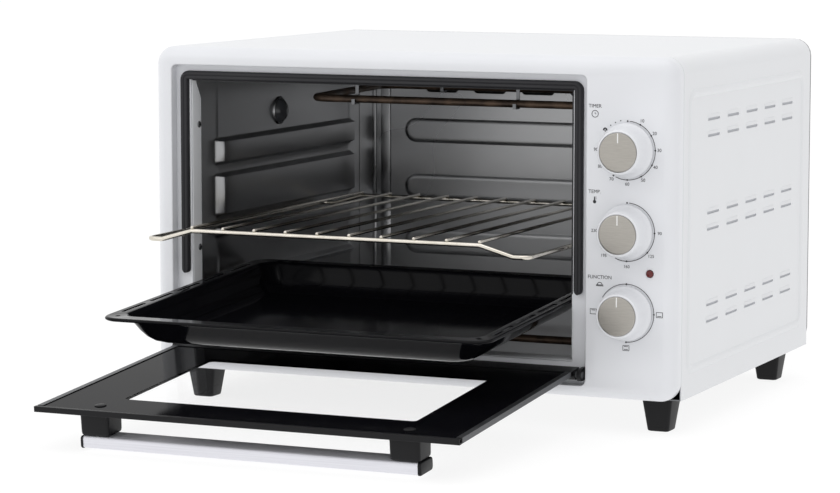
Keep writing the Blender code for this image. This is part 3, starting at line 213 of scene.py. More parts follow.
def make_materials():
    made = {slot: painted(name, *values) for slot, name, *values in PAINTS}
    shader_of(made["black_plastic"]).inputs["IOR"].default_value = 1.28
    made["zinc_steel"] = zinc("zinc_plate")
    made["cavity_steel"] = aluminised("aluminised_steel")
    made["chrome_wire"] = chrome("chrome_plate")
    made["heater_sheath"] = sheath("heated_tube")
    made["brass_contact"] = brushed("brass", (0.60, 0.44, 0.20), (0.78, 0.60, 0.30), 0.30, (1, 8, 8))
    made["black_enamel"] = enamel("black_vitreous_enamel")
    made["trim_grey"] = brushed("door_trim", (0.08, 0.082, 0.086), (0.15, 0.153, 0.16), 0.42, (0.3, 20, 20))
    made["handle_bar"] = brushed("handle_bar_metal", (0.72, 0.72, 0.77), (0.82, 0.82, 0.87), 0.42,
                                 (0.2, 24, 24), 0.06)
    shader_of(made["handle_bar"]).inputs["Metallic"].default_value = 0.15
    made["knob_cap"] = spun_disc("knob_cap_metal")
    made["lamp_red"] = principled("lamp_red_lens", (0.11, 0.004, 0.004), 0.22, Coat_Weight=0.2,
                                  Coat_Roughness=0.05)
    made["clear_glass"] = principled("lamp_glass", (0.10, 0.105, 0.115), 0.05, Transmission_Weight=0.35,
                                     IOR=1.47)
    made["door_glass"] = principled("door_glass_clear", (1.0, 1.0, 1.0), 0.0, Transmission_Weight=1.0,
                                    IOR=1.04)
    made["black_print"] = print_black("door_glass_print")
    return made


def zinc(name):
    made = principled(name, (0.55, 0.56, 0.58), 0.38, 1.0)
    cells = add_node(made, "ShaderNodeTexVoronoi", Scale=110.0)
    link(made, coordinates(made), "Vector", cells, "Vector")
    drive(made, "Base Color", cells, "Distance", [(0.0, (0.15, 0.153, 0.16)), (1.0, (0.24, 0.245, 0.255))])
    drive(made, "Roughness", cells, "Distance", [(0.0, grey(0.28)), (1.0, grey(0.46))])
    return made


def aluminised(name):
    """Dark smooth sheet: faint haze in its tone and gloss, no grain."""
    made = principled(name, (0.42, 0.425, 0.43), 0.32, 1.0)
    haze = noise(made, 5.0, 2.0, (1, 0.4, 1))
    varied(made, haze, (0.39, 0.393, 0.40), (0.46, 0.465, 0.475), 0.27, 0.37)
    return made


def chrome(name):
    made = principled(name, (0.70, 0.66, 0.58), 0.18, 1.0)
    shade = noise(made, 45.0, 3.0)
    varied(made, shade, (0.60, 0.565, 0.49), (0.76, 0.72, 0.65), 0.14, 0.26)
    add_bump(made, noise(made, 700.0, 2.0), "Fac", 0.06, 0.0002)
    return made


def sheath(name):
    made = principled(name, (0.09, 0.06, 0.045), 0.45, 0.7)
    shade = noise(made, 60.0, 5.0)
    varied(made, shade, (0.035, 0.025, 0.02), (0.17, 0.115, 0.08), 0.34, 0.6)
    add_bump(made, noise(made, 1200.0, 3.0), "Fac", 0.2, 0.0002)
    return made


def enamel(name):
    made = principled(name, (0.003, 0.003, 0.004), 0.10, IOR=1.20)
    drive(made, "Roughness", noise(made, 18.0, 2.0), "Fac", [(0.3, grey(0.07)), (0.7, grey(0.13))])
    return made


def spun_disc(name):
    """Warm grey disc, brushed across its face."""
    made = principled(name, (0.42, 0.40, 0.37), 0.38, 1.0)
    lines = noise(made, 130.0, 3.0, (1, 1, 14))
    varied(made, lines, (0.39, 0.37, 0.34), (0.45, 0.43, 0.395), 0.34, 0.44)
    add_bump(made, lines, "Fac", 0.04, 0.0001)
    return made


def print_black(name):
    made = principled(name, (0.003, 0.003, 0.004), 0.10, IOR=1.07)
    drive(made, "Roughness", noise(made, 22.0, 4.0), "Fac", [(0.3, grey(0.06)), (0.75, grey(0.15))])
    return made


MATERIALS = make_materials()


# ---------------------------------------------------------------- mesh helpers
def in_scene(name, data):
    item = bpy.data.objects.new(name, data)
    bpy.context.scene.collection.objects.link(item)
    return item


def as_mesh(bm, name):
    """The shape in bm as a mesh; bm is used up."""
    mesh = bpy.data.meshes.new(name)
    bm.to_mesh(mesh)
    bm.free()
    return mesh


def soften(mesh, angle):
    """Smooth shading, with edges sharper than the angle kept."""
    mesh.shade_smooth()
    mesh.set_sharp_from_angle(angle=radians(angle))


def mesh_piece(bm, name, slot, body="cabinet", replaces=(), smooth=35, looks=None):
    bmesh.ops.recalc_face_normals(bm, faces=bm.faces)
    item = in_scene(name, as_mesh(bm, name))
    item.data.materials.append(MATERIALS[looks or slot])
    if smooth:
        soften(item.data, smooth)
    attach(item, body)
    if replaces:
        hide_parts(*replaces)
    return item


def place(axis, along, pair):
    if axis == "X":
        return Vector((along, pair[0], pair[1]))
    if axis == "Y":
        return Vector((pair[0], along, pair[1]))
    return Vector((pair[0], pair[1], along))


def ring(axis, along, outline):
    return [place(axis, along, pair) for pair in outline]


def add_box(bm, low, high):
    corners = [Vector((x, y, z)) for x in (low[0], high[0]) for y in (low[1], high[1])
               for z in (low[2], high[2])]
    verts = [bm.verts.new(c) for c in corners]
    for quad in ((0, 1, 3, 2), (4, 6, 7, 5), (0, 4, 5, 1), (2, 3, 7, 6), (0, 2, 6, 4), (1, 5, 7, 3)):
        bm.faces.new([verts[i] for i in quad])


def add_soft_box(bm, low, high, edge, segments=3):
    """A box with rounded edges."""
    extra = bmesh.new()
    add_box(extra, low, high)
    bmesh.ops.bevel(extra, geom=extra.edges[:], offset=edge, segments=segments, affect="EDGES", profile=0.5)
    merge(bm, extra)


def merge(bm, extra):
    mesh = as_mesh(extra, "merge")
    bm.from_mesh(mesh)
    bpy.data.meshes.remove(mesh)


def rounded(left, right, low, high, radius, steps=8):
    points = []
    for cx, cy, start in ((right - radius, high - radius, 0), (left + radius, high - radius, 1),
                          (left + radius, low + radius, 2), (right - radius, low + radius, 3)):
        for k in range(steps + 1):
            angle = (start + k / steps) * pi / 2
            points.append((cx + radius * cos(angle), cy + radius * sin(angle)))
    return points


def add_loft(bm, rings, closed=False, caps=True):
    layers = [[bm.verts.new(p) for p in corners] for corners in rings]
    count = len(layers[0])
    pairs = list(zip(layers, layers[1:]))
    if closed:
        pairs.append((layers[-1], layers[0]))
    for first, second in pairs:
        for i in range(count):
            j = (i + 1) % count
            bm.faces.new((first[i], first[j], second[j], second[i]))
    if not closed and caps:
        bm.faces.new(list(reversed(layers[0])))
        bm.faces.new(layers[-1])


def lofted(rings, closed=False):
    bm = bmesh.new()
    add_loft(bm, rings, closed)
    return bm


def turned(profile, centre, axis, sides=48):
    bm = bmesh.new()
    add_lathe(bm, profile, centre, axis, sides)
    return bm


def add_lathe(bm, profile, centre, axis, sides=48, closed=True):
    layers = []
    for radius, along in profile:
        if radius == 0:
            layers.append([bm.verts.new(place(axis, along, centre))])
            continue
        layer = []
        for k in range(sides):
            angle = 2 * pi * k / sides
            pair = (centre[0] + radius * cos(angle), centre[1] + radius * sin(angle))
            layer.append(bm.verts.new(place(axis, along, pair)))
        layers.append(layer)
    pairs = list(zip(layers, layers[1:]))
    if closed and profile[0][0] != 0:
        pairs.append((layers[-1], layers[0]))
    for first, second in pairs:
        for k in range(sides):
            j = (k + 1) % sides
            if len(first) == 1:
                bm.faces.new((first[0], second[j], second[k]))
            elif len(second) == 1:
                bm.faces.new((first[k], first[j], second[0]))
            else:
                bm.faces.new((first[k], first[j], second[j], second[k]))


def add_pin(bm, radius, start, end, centre, axis, sides):
    """A plain round bar between two places on its axis."""
    add_lathe(bm, [(0, start), (radius, start), (radius, end), (0, end)], centre, axis, sides)


def dome(radius, base, height, steps=8):
    """Profile points of a quarter curve, from its rim to the axis."""
    angles = [k / steps * pi / 2 for k in range(steps)]
    return [(radius * cos(a), base + height * sin(a)) for a in angles] + [(0, base + height)]


def add_tube(bm, points, radius, sides=16, closed=False):
    points = [Vector(p) for p in points]
    count = len(points)
    normal = None
    rings = []
    for i, point in enumerate(points):
        before = points[i - 1] if closed or i else point
        after = points[(i + 1) % count] if closed or i < count - 1 else point
        tangent = (after - before).normalized()
        if normal is None:
            guide = Vector((0, 0, 1)) if abs(tangent.z) < 0.9 else Vector((0, 1, 0))
            normal = guide.cross(tangent).normalized()
        normal = (normal - tangent * normal.dot(tangent)).normalized()
        side = tangent.cross(normal)
        rings.append([point + (normal * cos(2 * pi * k / sides) + side * sin(2 * pi * k / sides)) * radius
                      for k in range(sides)])
    add_loft(bm, rings, closed)


def round_path(corners, radius, steps=10, closed=False):
    corners = [Vector(c) for c in corners]
    count = len(corners)
    path = []
    for i, corner in enumerate(corners):
        if not closed and i in (0, count - 1):
            path.append(corner)
            continue
        inward = (corners[i - 1] - corner).normalized()
        outward = (corners[(i + 1) % count] - corner).normalized()
        half = inward.angle(outward) / 2
        reach = radius / tan(half)
        middle = corner + (inward + outward).normalized() * (radius / sin(half))
        start = corner + inward * reach - middle
        end = corner + outward * reach - middle
        turn = start.angle(end)
        for k in range(steps + 1):
            share = k / steps
            path.append(middle + (start * sin((1 - share) * turn) + end * sin(share * turn)) / sin(turn))
    return path


def carve(item, bm):
    """Cut the shape in bm out of a piece, applied at once."""
    bmesh.ops.recalc_face_normals(bm, faces=bm.faces)
    helper = in_scene("helper", as_mesh(bm, "helper"))
    modifier = item.modifiers.new("carve", "BOOLEAN")
    modifier.operation = "DIFFERENCE"
    modifier.object = helper
    graph = bpy.context.evaluated_depsgraph_get()
    result = bpy.data.meshes.new_from_object(item.evaluated_get(graph))
    item.modifiers.remove(modifier)
    old = item.data
    item.data = result
    bpy.data.meshes.remove(old)
    bpy.data.objects.remove(helper, do_unlink=True)
    soften(item.data, 35)


def stadium(left, right, low, high, steps=10):
    radius = (high - low) / 2
    middle = (high + low) / 2
    points = []
    for centre, start in ((right - radius, -pi / 2), (left + radius, pi / 2)):
        for k in range(steps + 1):
            angle = start + pi * k / steps
            points.append((centre + radius * cos(angle), middle + radius * sin(angle)))
    return points


# ---------------------------------------------------------------- front moulding
def make_front_panel():
    bm = bmesh.new()
    rounding = 0.012
    corner = 0.016
    steps = 12
    rings = []
    for k in range(steps + 1):
        angle = k / steps * pi / 2
        inset = rounding * (1 - sin(angle))
        y = FACE_Y + rounding * (1 - cos(angle))
        outline = rounded(-HALF + inset, HALF - inset, BODY_Z + inset, TOP_Z - inset,
                          max(corner - inset, 0.003), 10)
        rings.append(ring("Y", y, outline))
    outline = rounded(-HALF, HALF, BODY_Z, TOP_Z, corner, 10)
    rings.append(ring("Y", SEAM_Y - 0.0012, outline))
    outline = rounded(-HALF + 0.0009, HALF - 0.0009, BODY_Z + 0.0009, TOP_Z - 0.0009, corner, 10)
    rings.append(ring("Y", SEAM_Y, outline))
    add_loft(bm, rings)
    panel = mesh_piece(bm, "front_moulding", "white_plastic", replaces=("front_panel",))
    bm = bmesh.new()
    edge = 0.0012
    shapes = []
    for k in range(5):
        angle = k / 4 * pi / 2
        shapes.append((edge * (1 - sin(angle)), FACE_Y + edge * (1 - cos(angle))))
    rings = []
    for grow, y in [(edge, FACE_Y - 0.01)] + shapes + [(0.0, RECESS_Y)]:
        outline = rounded(RECESS_LEFT - grow, RECESS_RIGHT + grow, RECESS_LOW - grow, RECESS_HIGH + grow,
                          0.005 + grow, 6)
        rings.append(ring("Y", y, outline))
    add_loft(bm, rings)
    carve(panel, bm)
    bm = bmesh.new()
    room = SHEET + CLEAR
    add_box(bm, (OPEN_LEFT - room, FACE_Y - 0.01, OPEN_LOW - room),
            (OPEN_RIGHT + room, SEAM_Y + 0.01, OPEN_HIGH + room))
    carve(panel, bm)
    bm = bmesh.new()
    add_box(bm, (-HALF + 0.010, RECESS_Y + 0.003, BODY_Z + 0.010),
            (RECESS_RIGHT, SEAM_Y + 0.01, TOP_Z - 0.010))
    carve(panel, bm)
    bm = bmesh.new()
    add_box(bm, (RECESS_RIGHT + 0.003, FACE_Y + 0.003, BODY_Z + 0.010),
            (HALF - 0.010, SEAM_Y + 0.01, TOP_Z - 0.010))
    bores = [(centre, 0.0043) for centre in KNOBS.values()] + [(middle_of("indicator_lens"), 0.0036)]
    for centre, radius in bores:
        add_pin(bm, radius, FACE_Y - 0.01, FACE_Y + 0.01, (centre.x, centre.z), "Y", 32)
    carve(panel, bm)
    return panel


# ---------------------------------------------------------------- housing
LOUVRE_ROWS = (0.2374, 0.2231, 0.1557, 0.1415, 0.0751, 0.0606)
LOUVRE_FIRST = 0.0832
LOUVRE_PITCH = 0.0536
LOUVRE_LENGTH = 0.0325


def louvres():
    for row in LOUVRE_ROWS:
        for k in range(5):
            yield FACE_Y + LOUVRE_FIRST + k * LOUVRE_PITCH, BODY_Z + row


def make_housing():
    start = SEAM_Y + CLEAR
    end = span("housing_shell")[1].y
    corner = 0.016
    thickness = 0.0015

    def arch(inset):
        radius = corner - inset
        points = [(HALF - inset, BODY_Z)]
        for cx, first in ((HALF - corner, 0), (-HALF + corner, 1)):
            for k in range(13):
                angle = (first + k / 12) * pi / 2
                points.append((cx + radius * cos(angle), TOP_Z - corner + radius * sin(angle)))
        points.append((-HALF + inset, BODY_Z))
        return points

    lip = 0.0006
    outer = arch(0.0)
    inner = arch(thickness)
    bm = bmesh.new()
    add_loft(bm, [ring("Y", y, outside + list(reversed(inner))) for y, outside in
                  ((start, arch(lip)), (start + lip, outer), (end - lip, outer), (end, arch(lip)))])
    shell = mesh_piece(bm, "housing_cover", "white_enamel", replaces=("housing_shell",), smooth=30)
    bm = bmesh.new()
    half = 0.0012
    for side in (-1, 1):
        near, far = sorted((side * (HALF - 0.004), side * (HALF + 0.004)))
        for y, z in louvres():
            outline = stadium(y, y + LOUVRE_LENGTH, z - half, z + half, 5)
            add_loft(bm, [ring("X", a, outline) for a in (near, far)])
    carve(shell, bm)
    # painted shade: a grey plate just inside each side louvre slot, coloured as the shade seen in the slot under
    # its lip
    bm = bmesh.new()
    for side in (-1, 1):
        near, far = sorted((side * (HALF - 0.0018), side * (HALF - 0.0010)))
        for y, z in louvres():
            outline = stadium(y - 0.001, y + LOUVRE_LENGTH + 0.001, z - half - 0.001, z + half + 0.001, 5)
            add_loft(bm, [ring("X", a, outline) for a in (near, far)])
    mesh_piece(bm, "louvre_shade_plates", "white_enamel", smooth=30, looks="louvre_painted_shade")
    # painted shade: a grey band just inside the seam between moulding and housing, standing in for the shadow in
    # the gap
    bm = bmesh.new()
    gap = arch(0.0009) + list(reversed(arch(0.0013)))
    add_loft(bm, [ring("Y", y, gap) for y in (SEAM_Y - 0.0002, start + 0.0002)])
    mesh_piece(bm, "seam_shadow", "white_enamel", smooth=30, looks="seam_painted_shade")
    make_louvre_hoods()
    make_side_emboss()
    return shell


def make_louvre_hoods():
    """A pressed lip over each slot, and the low swell of metal around it."""
    bm = bmesh.new()
    height = 0.0030
    proud = 0.0011
    across = 8
    along = 14
    for side in (-1, 1):
        for y, z in louvres():
            rows = []
            for i in range(across + 1):
                t = i / across
                row = []
                for j in range(along + 1):
                    s = j / along
                    end = min(1.0, sin(pi * s) * 2.2)
                    rise = sin(pi * t * 0.5 + pi * 0.5) * end
                    out = HALF + 0.00005 + proud * max(rise, 0.0)
                    row.append(bm.verts.new((side * out, y - 0.001 + s * (LOUVRE_LENGTH + 0.002),
                                             z + 0.0014 + t * height)))
                rows.append(row)
            under = []
            for j in range(along + 1):
                co = rows[0][j].co
                under.append(bm.verts.new((side * (HALF - 0.0002), co.y, co.z)))
            for j in range(along):
                bm.faces.new((under[j], under[j + 1], rows[0][j + 1], rows[0][j]))
            for i in range(across):
                for j in range(along):
                    bm.faces.new((rows[i][j], rows[i][j + 1], rows[i + 1][j + 1], rows[i + 1][j]))
    return mesh_piece(bm, "louvre_lips", "white_enamel", smooth=50)


def make_side_emboss():
    """The pressed field on each side: a raised rounded-rectangle bead."""
    bm = bmesh.new()
    y_low = FACE_Y + 0.036
    y_high = FACE_Y + 0.3615
    z_low = BODY_Z + 0.0245
    z_high = BODY_Z + 0.2620
    steps = 6
    width = 0.0080
    proud = 0.0015
    for side in (-1, 1):
        rings = []
        for k in range(2 * steps + 1):
            t = k / steps - 1
            inset = width / 2 * t
            out = HALF - 0.0003 + (proud + 0.0003) * cos(t * pi / 2)
            outline = rounded(y_low + inset, y_high - inset, z_low + inset, z_high - inset,
                              0.010 - inset * 0.5, 8)
            rings.append(ring("X", side * out, outline))
        add_loft(bm, rings, closed=True)
    return mesh_piece(bm, "side_field_beads", "white_enamel", smooth=50)


# ---------------------------------------------------------------- rear, base, feet
def make_screws():
    """Cross-head case screws: rear panel, base plate and jambs."""
    seats = []
    for x in (-HALF + 0.022, HALF - 0.022):
        seats += [((x, BACK_Y, BODY_Z + 0.022), "Y", 1), ((x, BACK_Y, TOP_Z - 0.026), "Y", 1)]
    seats += [((MID_X, BACK_Y, BODY_Z + 0.010), "Y", 1), ((MID_X, BACK_Y, TOP_Z - 0.012), "Y", 1)]
    for x in (-HALF + 0.062, HALF - 0.062):
        seats += [((x, FACE_Y + 0.040, BODY_Z), "Z", -1), ((x, BACK_Y - 0.030, BODY_Z), "Z", -1)]
    y = FACE_Y + 0.0215
    for z in (OPEN_LOW + 0.080, OPEN_LOW + 0.192):
        seats += [((OPEN_LEFT, y, z), "X", 1), ((OPEN_RIGHT, y, z), "X", -1)]
    heads = bmesh.new()
    slots = bmesh.new()
    for seat, axis, way in seats:
        along = {"X": seat[0], "Y": seat[1], "Z": seat[2]}[axis]
        pair = {"X": seat[1:], "Y": (seat[0], seat[2]), "Z": seat[:2]}[axis]
        radius = 0.0030
        profile = [(0, along + way * 0.00005), (radius, along + way * 0.00005)]
        profile += dome(radius, along + way * 0.0003, way * 0.0010, 6)
        add_lathe(heads, profile, pair, axis, 24)
        # painted shade: the cross recess is drawn as two thin dark boxes standing in for the shade inside it
        for wide, tall in ((0.0017, 0.00035), (0.00035, 0.0017)):
            low = place(axis, along + way * 0.0009, (pair[0] - wide, pair[1] - tall))
            high = place(axis, along + way * 0.00134, (pair[0] + wide, pair[1] + tall))
            add_box(slots, *zip(*[sorted(ends) for ends in zip(low, high)]))
    mesh_piece(heads, "case_screws", "zinc_steel", smooth=60)
    mesh_piece(slots, "case_screw_recess_shade", "zinc_steel", smooth=0, looks="shadow_gap")


def make_feet():
    for node in ("foot_front_left", "foot_front_right", "foot_rear_left", "foot_rear_right"):
        low, high = span(node)
        centre = (low + high) / 2
        rings = []
        for z, half in ((0.0, 0.0088), (0.0006, 0.0097), (0.0016, 0.0100), (high.z - 0.0045, 0.0134),
                        (high.z - 0.0035, 0.0135), (high.z, 0.0135)):
            outline = rounded(centre.x - half, centre.x + half, centre.y - half, centre.y + half, 0.003, 6)
            rings.append(ring("Z", z, outline))
        mesh_piece(lofted(rings), f"{node}_moulded", "black_plastic", replaces=(node,))


# ---------------------------------------------------------------- cavity
def smooth_step(t):
    t = min(1.0, max(0.0, t))
    return t * t * (3 - 2 * t)


def rib_levels():
    rack_z = span("wire_rack")[0].z
    low = span("baking_tray")[0]
    contact = FACE_Y + 0.058
    flange = TRAY_TIP_Z + (contact - low.y) * tan(TRAY_TILT) - 0.003 / cos(TRAY_TILT)
    tray_ledge = flange - CLEAR
    rack_ledge = rack_z - CLEAR
    upper = RACK_LEVEL + 0.048
    return [(tray_ledge - 0.007, tray_ledge), (rack_ledge - 0.0105, rack_ledge),
            (rack_ledge + 0.009, upper - 0.002), (upper + 0.0066, upper + 0.0306)]


def make_side_wall(node, side):
    surface = WALL_RIGHT if side > 0 else WALL_LEFT
    low = FLOOR_Z - SHEET
    high = CEILING_Z + SHEET
    depth = 0.0078
    ribs = rib_levels()
    levels = {low, high}
    for a, b in ribs:
        for k in range(9):
            levels.add(a - 0.0016 + k / 8 * 0.0044)
        for k in range(9):
            levels.add(b - 0.0036 + k / 8 * 0.0036)
    levels = sorted(levels)
    start = FACE_Y + 0.050
    end = CAVITY_Y - 0.018
    stations = [WALL_Y] + [start + k / 10 * 0.010 for k in range(11)]
    stations += [start + 0.010 + (end - start - 0.020) * k / 12 for k in range(1, 12)]
    stations += [end - 0.010 + k / 10 * 0.010 for k in range(11)] + [CAVITY_Y + SHEET]

    def rib(z):
        value = 0.0
        for a, b in ribs:
            rise = smooth_step((z - (a - 0.0016)) / 0.0044)
            fall = smooth_step((b - z) / 0.0036)
            value = max(value, min(rise, fall))
        return value

    bm = bmesh.new()
    grids = []
    for offset in (0.0, SHEET):
        grid = []
        for y in stations:
            reach = smooth_step((y - start) / 0.010) * smooth_step((end - y) / 0.010)
            grid.append([bm.verts.new((surface + side * (offset - depth * reach * rib(z)), y, z))
                         for z in levels])
        grids.append(grid)
    rows = len(stations)
    columns = len(levels)
    for grid in grids:
        for i in range(rows - 1):
            for j in range(columns - 1):
                bm.faces.new((grid[i][j], grid[i][j + 1], grid[i + 1][j + 1], grid[i + 1][j]))
    border = [(i, 0) for i in range(rows)] + [(rows - 1, j) for j in range(1, columns)]
    border += [(i, columns - 1) for i in reversed(range(rows - 1))]
    border += [(0, j) for j in reversed(range(1, columns - 1))]
    for first, second in zip(border, border[1:] + border[:1]):
        bm.faces.new((grids[0][first[0]][first[1]], grids[0][second[0]][second[1]],
                      grids[1][second[0]][second[1]], grids[1][first[0]][first[1]]))
    wall = mesh_piece(bm, f"{node}_pressed", "cavity_steel", replaces=(node,), smooth=40)
    bm = bmesh.new()
    holes = []
    if side > 0:
        for name in ("upper", "lower"):
            low_corner, high_corner = span(f"{name}_element_mount")
            z = (low_corner.z + high_corner.z) / 2
            holes += [((low_corner.y + 0.011, z), 0.0053), ((high_corner.y - 0.011, z), 0.0053)]
        holes.append(((FACE_Y + 0.170, CEILING_Z - 0.046), 0.0020))
    else:
        lamp = middle_of("lamp_cover")
        holes.append(((lamp.y, lamp.z), 0.0100))
        holes += [((FACE_Y + 0.2150, CEILING_Z - 0.006), 0.0018),
                  ((FACE_Y + 0.1650, CEILING_Z - 0.0065), 0.0016)]
    for pair, radius in holes:
        add_pin(bm, radius, surface - 0.01, surface + 0.01, pair, "X", 24)
    carve(wall, bm)


def make_back_wall():
    low, high = span("cavity_back_wall")
    bm = bmesh.new()
    outline = [(low.x, low.z), (high.x, low.z), (high.x, high.z), (low.x, high.z)]
    add_loft(bm, [ring("Y", y, outline) for y in (low.y, high.y)])
    wall = mesh_piece(bm, "cavity_back_wall_sheet", "cavity_steel", replaces=("cavity_back_wall",), smooth=0)
    bm = bmesh.new()
    for k in range(5):
        x = MID_X + 0.010 + (k - 2) * 0.0515
        outline = stadium(x - 0.0175, x + 0.0175, CEILING_Z - 0.034, CEILING_Z - 0.026, 6)
        add_loft(bm, [ring("Y", y, outline) for y in (low.y - 0.01, high.y + 0.01)])
    carve(wall, bm)
    # dark plate behind the slots, painted shade for the dark seen through them, and the pressed fields, proud of
    # the sheet towards the door
    bm = bmesh.new()
    add_box(bm, (MID_X - 0.125, high.y + 0.004, CEILING_Z - 0.050),
            (MID_X + 0.145, high.y + 0.005, CEILING_Z - 0.010))
    mesh_piece(bm, "vent_slot_shade", "cavity_steel", smooth=0, looks="shadow_gap")
    bm = bmesh.new()
    left = MID_X - 0.133
    right = MID_X + 0.126
    for z_low, z_high in ((0.212, 0.235), (0.1555, 0.179), (0.100, 0.124)):
        z_low += 0.0035
        z_high += 0.0035
        rings = []
        for inset, proud in ((-0.0012, -0.0001), (0.0, 0.0002), (0.0008, 0.0006), (0.0018, 0.0009),
                             (0.0030, 0.0011), (0.0045, 0.0011)):
            outline = stadium(left + inset, right - inset, z_low + inset, z_high - inset, 16)
            rings.append(ring("Y", low.y - proud, outline))
        add_loft(bm, rings)
    mesh_piece(bm, "back_wall_pressings", "cavity_steel", smooth=60)
    # folded corner strips beside the back wall
    bm = bmesh.new()
    for x0, x1 in ((WALL_LEFT + 0.0150, WALL_LEFT + 0.0190), (WALL_LEFT + 0.0245, WALL_LEFT + 0.0350),
                   (WALL_RIGHT - 0.0350, WALL_RIGHT - 0.0245), (WALL_RIGHT - 0.0190, WALL_RIGHT - 0.0150)):
        near = low.y - 0.0001
        split = BODY_Z + 0.126
        add_soft_box(bm, (x0, low.y - 0.0016, split), (x1, near, CEILING_Z - 0.001), 0.0007)
        add_soft_box(bm, (x0, low.y - 0.0004, FLOOR_Z + 0.001), (x1, near, split), 0.0001, 1)
    mesh_piece(bm, "back_wall_folds", "cavity_steel", smooth=60)


def make_front_frame():
    """White frame: flange behind the moulding, tunnel, rounded lip at the opening."""
    back = RECESS_Y + 0.003 + CLEAR
    outline = [(OPEN_LEFT, OPEN_LOW), (OPEN_RIGHT, OPEN_LOW), (OPEN_RIGHT, OPEN_HIGH), (OPEN_LEFT, OPEN_HIGH)]

    def grown(amount):
        signs = ((-1, -1), (1, -1), (1, 1), (-1, 1))
        return [(x + sx * amount, z + sz * amount) for (x, z), (sx, sz) in zip(outline, signs)]

    end = FRAME_HIGH.y
    section = [(0.0, RECESS_Y + 0.0012), (0.0002, RECESS_Y + 0.0007), (0.0005, RECESS_Y + 0.0005),
               (0.0008, RECESS_Y + 0.0007), (SHEET, RECESS_Y + 0.0012), (SHEET, back), (0.007, back),
               (0.007, back + SHEET), (SHEET, back + SHEET), (SHEET, end), (0.0, end)]
    mesh_piece(lofted([ring("Y", y, grown(amount)) for amount, y in section], True),
               "opening_frame", "white_enamel", replaces=("cavity_front_frame",), smooth=30)
    front = RECESS_Y + 0.0012
    deep = end - front
    outline = [(front + deep * 0.64, OPEN_LOW + 0.0008), (end, OPEN_LOW + 0.0008), (end, OPEN_HIGH - 0.0008),
               (front + deep * 0.22, OPEN_HIGH - 0.0008), (front + deep * 0.64, OPEN_HIGH - 0.017)]
    bm = bmesh.new()
    for x0, x1 in ((OPEN_LEFT + 0.0001, OPEN_LEFT + 0.0004), (OPEN_RIGHT - 0.0004, OPEN_RIGHT - 0.0001)):
        add_loft(bm, [ring("X", x, outline) for x in (x0, x1)])
    mesh_piece(bm, "jamb_liners", "cavity_steel", smooth=30)
    # painted shade: thin dark strips on the opening's lip along the top and down the right side, standing in for
    # the shade at those edges
    bm = bmesh.new()
    near = RECESS_Y + 0.0001
    far = near + 0.0002
    add_box(bm, (OPEN_LEFT, near, OPEN_HIGH - 0.0002), (OPEN_RIGHT + 0.0012, far, OPEN_HIGH + 0.0014))
    add_box(bm, (OPEN_RIGHT - 0.0002, near, GASKET_LOW.z), (OPEN_RIGHT + 0.0014, far, OPEN_HIGH))
    mesh_piece(bm, "opening_lip_shade", "gasket_rubber", smooth=0)


def make_gasket():
    """Inverted U of soft seal with a rounded face and a groove along its middle."""
    half = 0.0039
    left = GASKET_LOW.x + half
    right = GASKET_HIGH.x - half
    top = GASKET_HIGH.z - half
    low = GASKET_LOW.z + half
    back = GASKET_HIGH.y
    front = GASKET_LOW.y
    path = [(left, low)]
    bend = 0.0042
    for x, first in ((left + bend, pi), (right - bend, pi / 2)):
        for k in range(7):
            angle = first - k / 6 * pi / 2
            path.append((x + bend * cos(angle), top - bend + bend * sin(angle)))
    path.append((right, low))
    flank = [(-1.0, 0.0), (-0.98, 0.55), (-0.80, 0.86), (-0.52, 1.0), (-0.20, 0.94)]
    section = flank + [(0.0, 0.80)] + [(-a, b) for a, b in reversed(flank)]
    stations = []
    for k in range(6):
        angle = (1 - k / 5) * pi / 2 * 0.96
        stations.append((Vector((left, 0, low - half * sin(angle))), cos(angle), Vector((-1, 0, 0))))
    for i in range(1, len(path) - 1):
        before = Vector((path[i - 1][0], 0, path[i - 1][1]))
        after = Vector((path[i + 1][0], 0, path[i + 1][1]))
        tangent = (after - before).normalized()
        stations.append((Vector((path[i][0], 0, path[i][1])), 1.0, Vector((-tangent.z, 0, tangent.x))))
    for k in range(6):
        angle = k / 5 * pi / 2 * 0.96
        stations.append((Vector((right, 0, low - half * sin(angle))), cos(angle), Vector((1, 0, 0))))
    bm = bmesh.new()
    rings = []
    for point, size, outward in stations:
        corners = []
        for a, b in section:
            spot = point + outward * (-a * half * size)
            corners.append(Vector((spot.x, back - (back - front) * b, spot.z)))
        rings.append(corners)
    add_loft(bm, rings)
    mesh_piece(bm, "door_seal", "gasket_rubber", replaces=("door_gasket",), smooth=60)


def make_heaters():
    for name, slant, bend in (("upper", -0.022, 0.016), ("lower", 0.0, 0.024)):
        low, high = span(f"{name}_element_mount")
        height = (low.z + high.z) / 2
        y0 = low.y + 0.011
        y1 = high.y - 0.011
        end = WALL_RIGHT + 0.012
        left = WALL_LEFT + 0.071
        path = round_path([(end, y0, height), (left, y0, height), (left + slant, y1, height),
                           (end, y1, height)], bend, 14)
        bm = bmesh.new()
        add_tube(bm, path, 0.0035, 20)
        for y in (y0, y1):
            add_lathe(bm, [(0, end - 0.001), (0.0016, end - 0.001), (0.0016, end + 0.011), (0, end + 0.0118)],
                      (y, height), "X", 14)
        mesh_piece(bm, f"{name}_heater_tube", "heater_sheath", replaces=(f"{name}_heating_element",),
                   smooth=60)


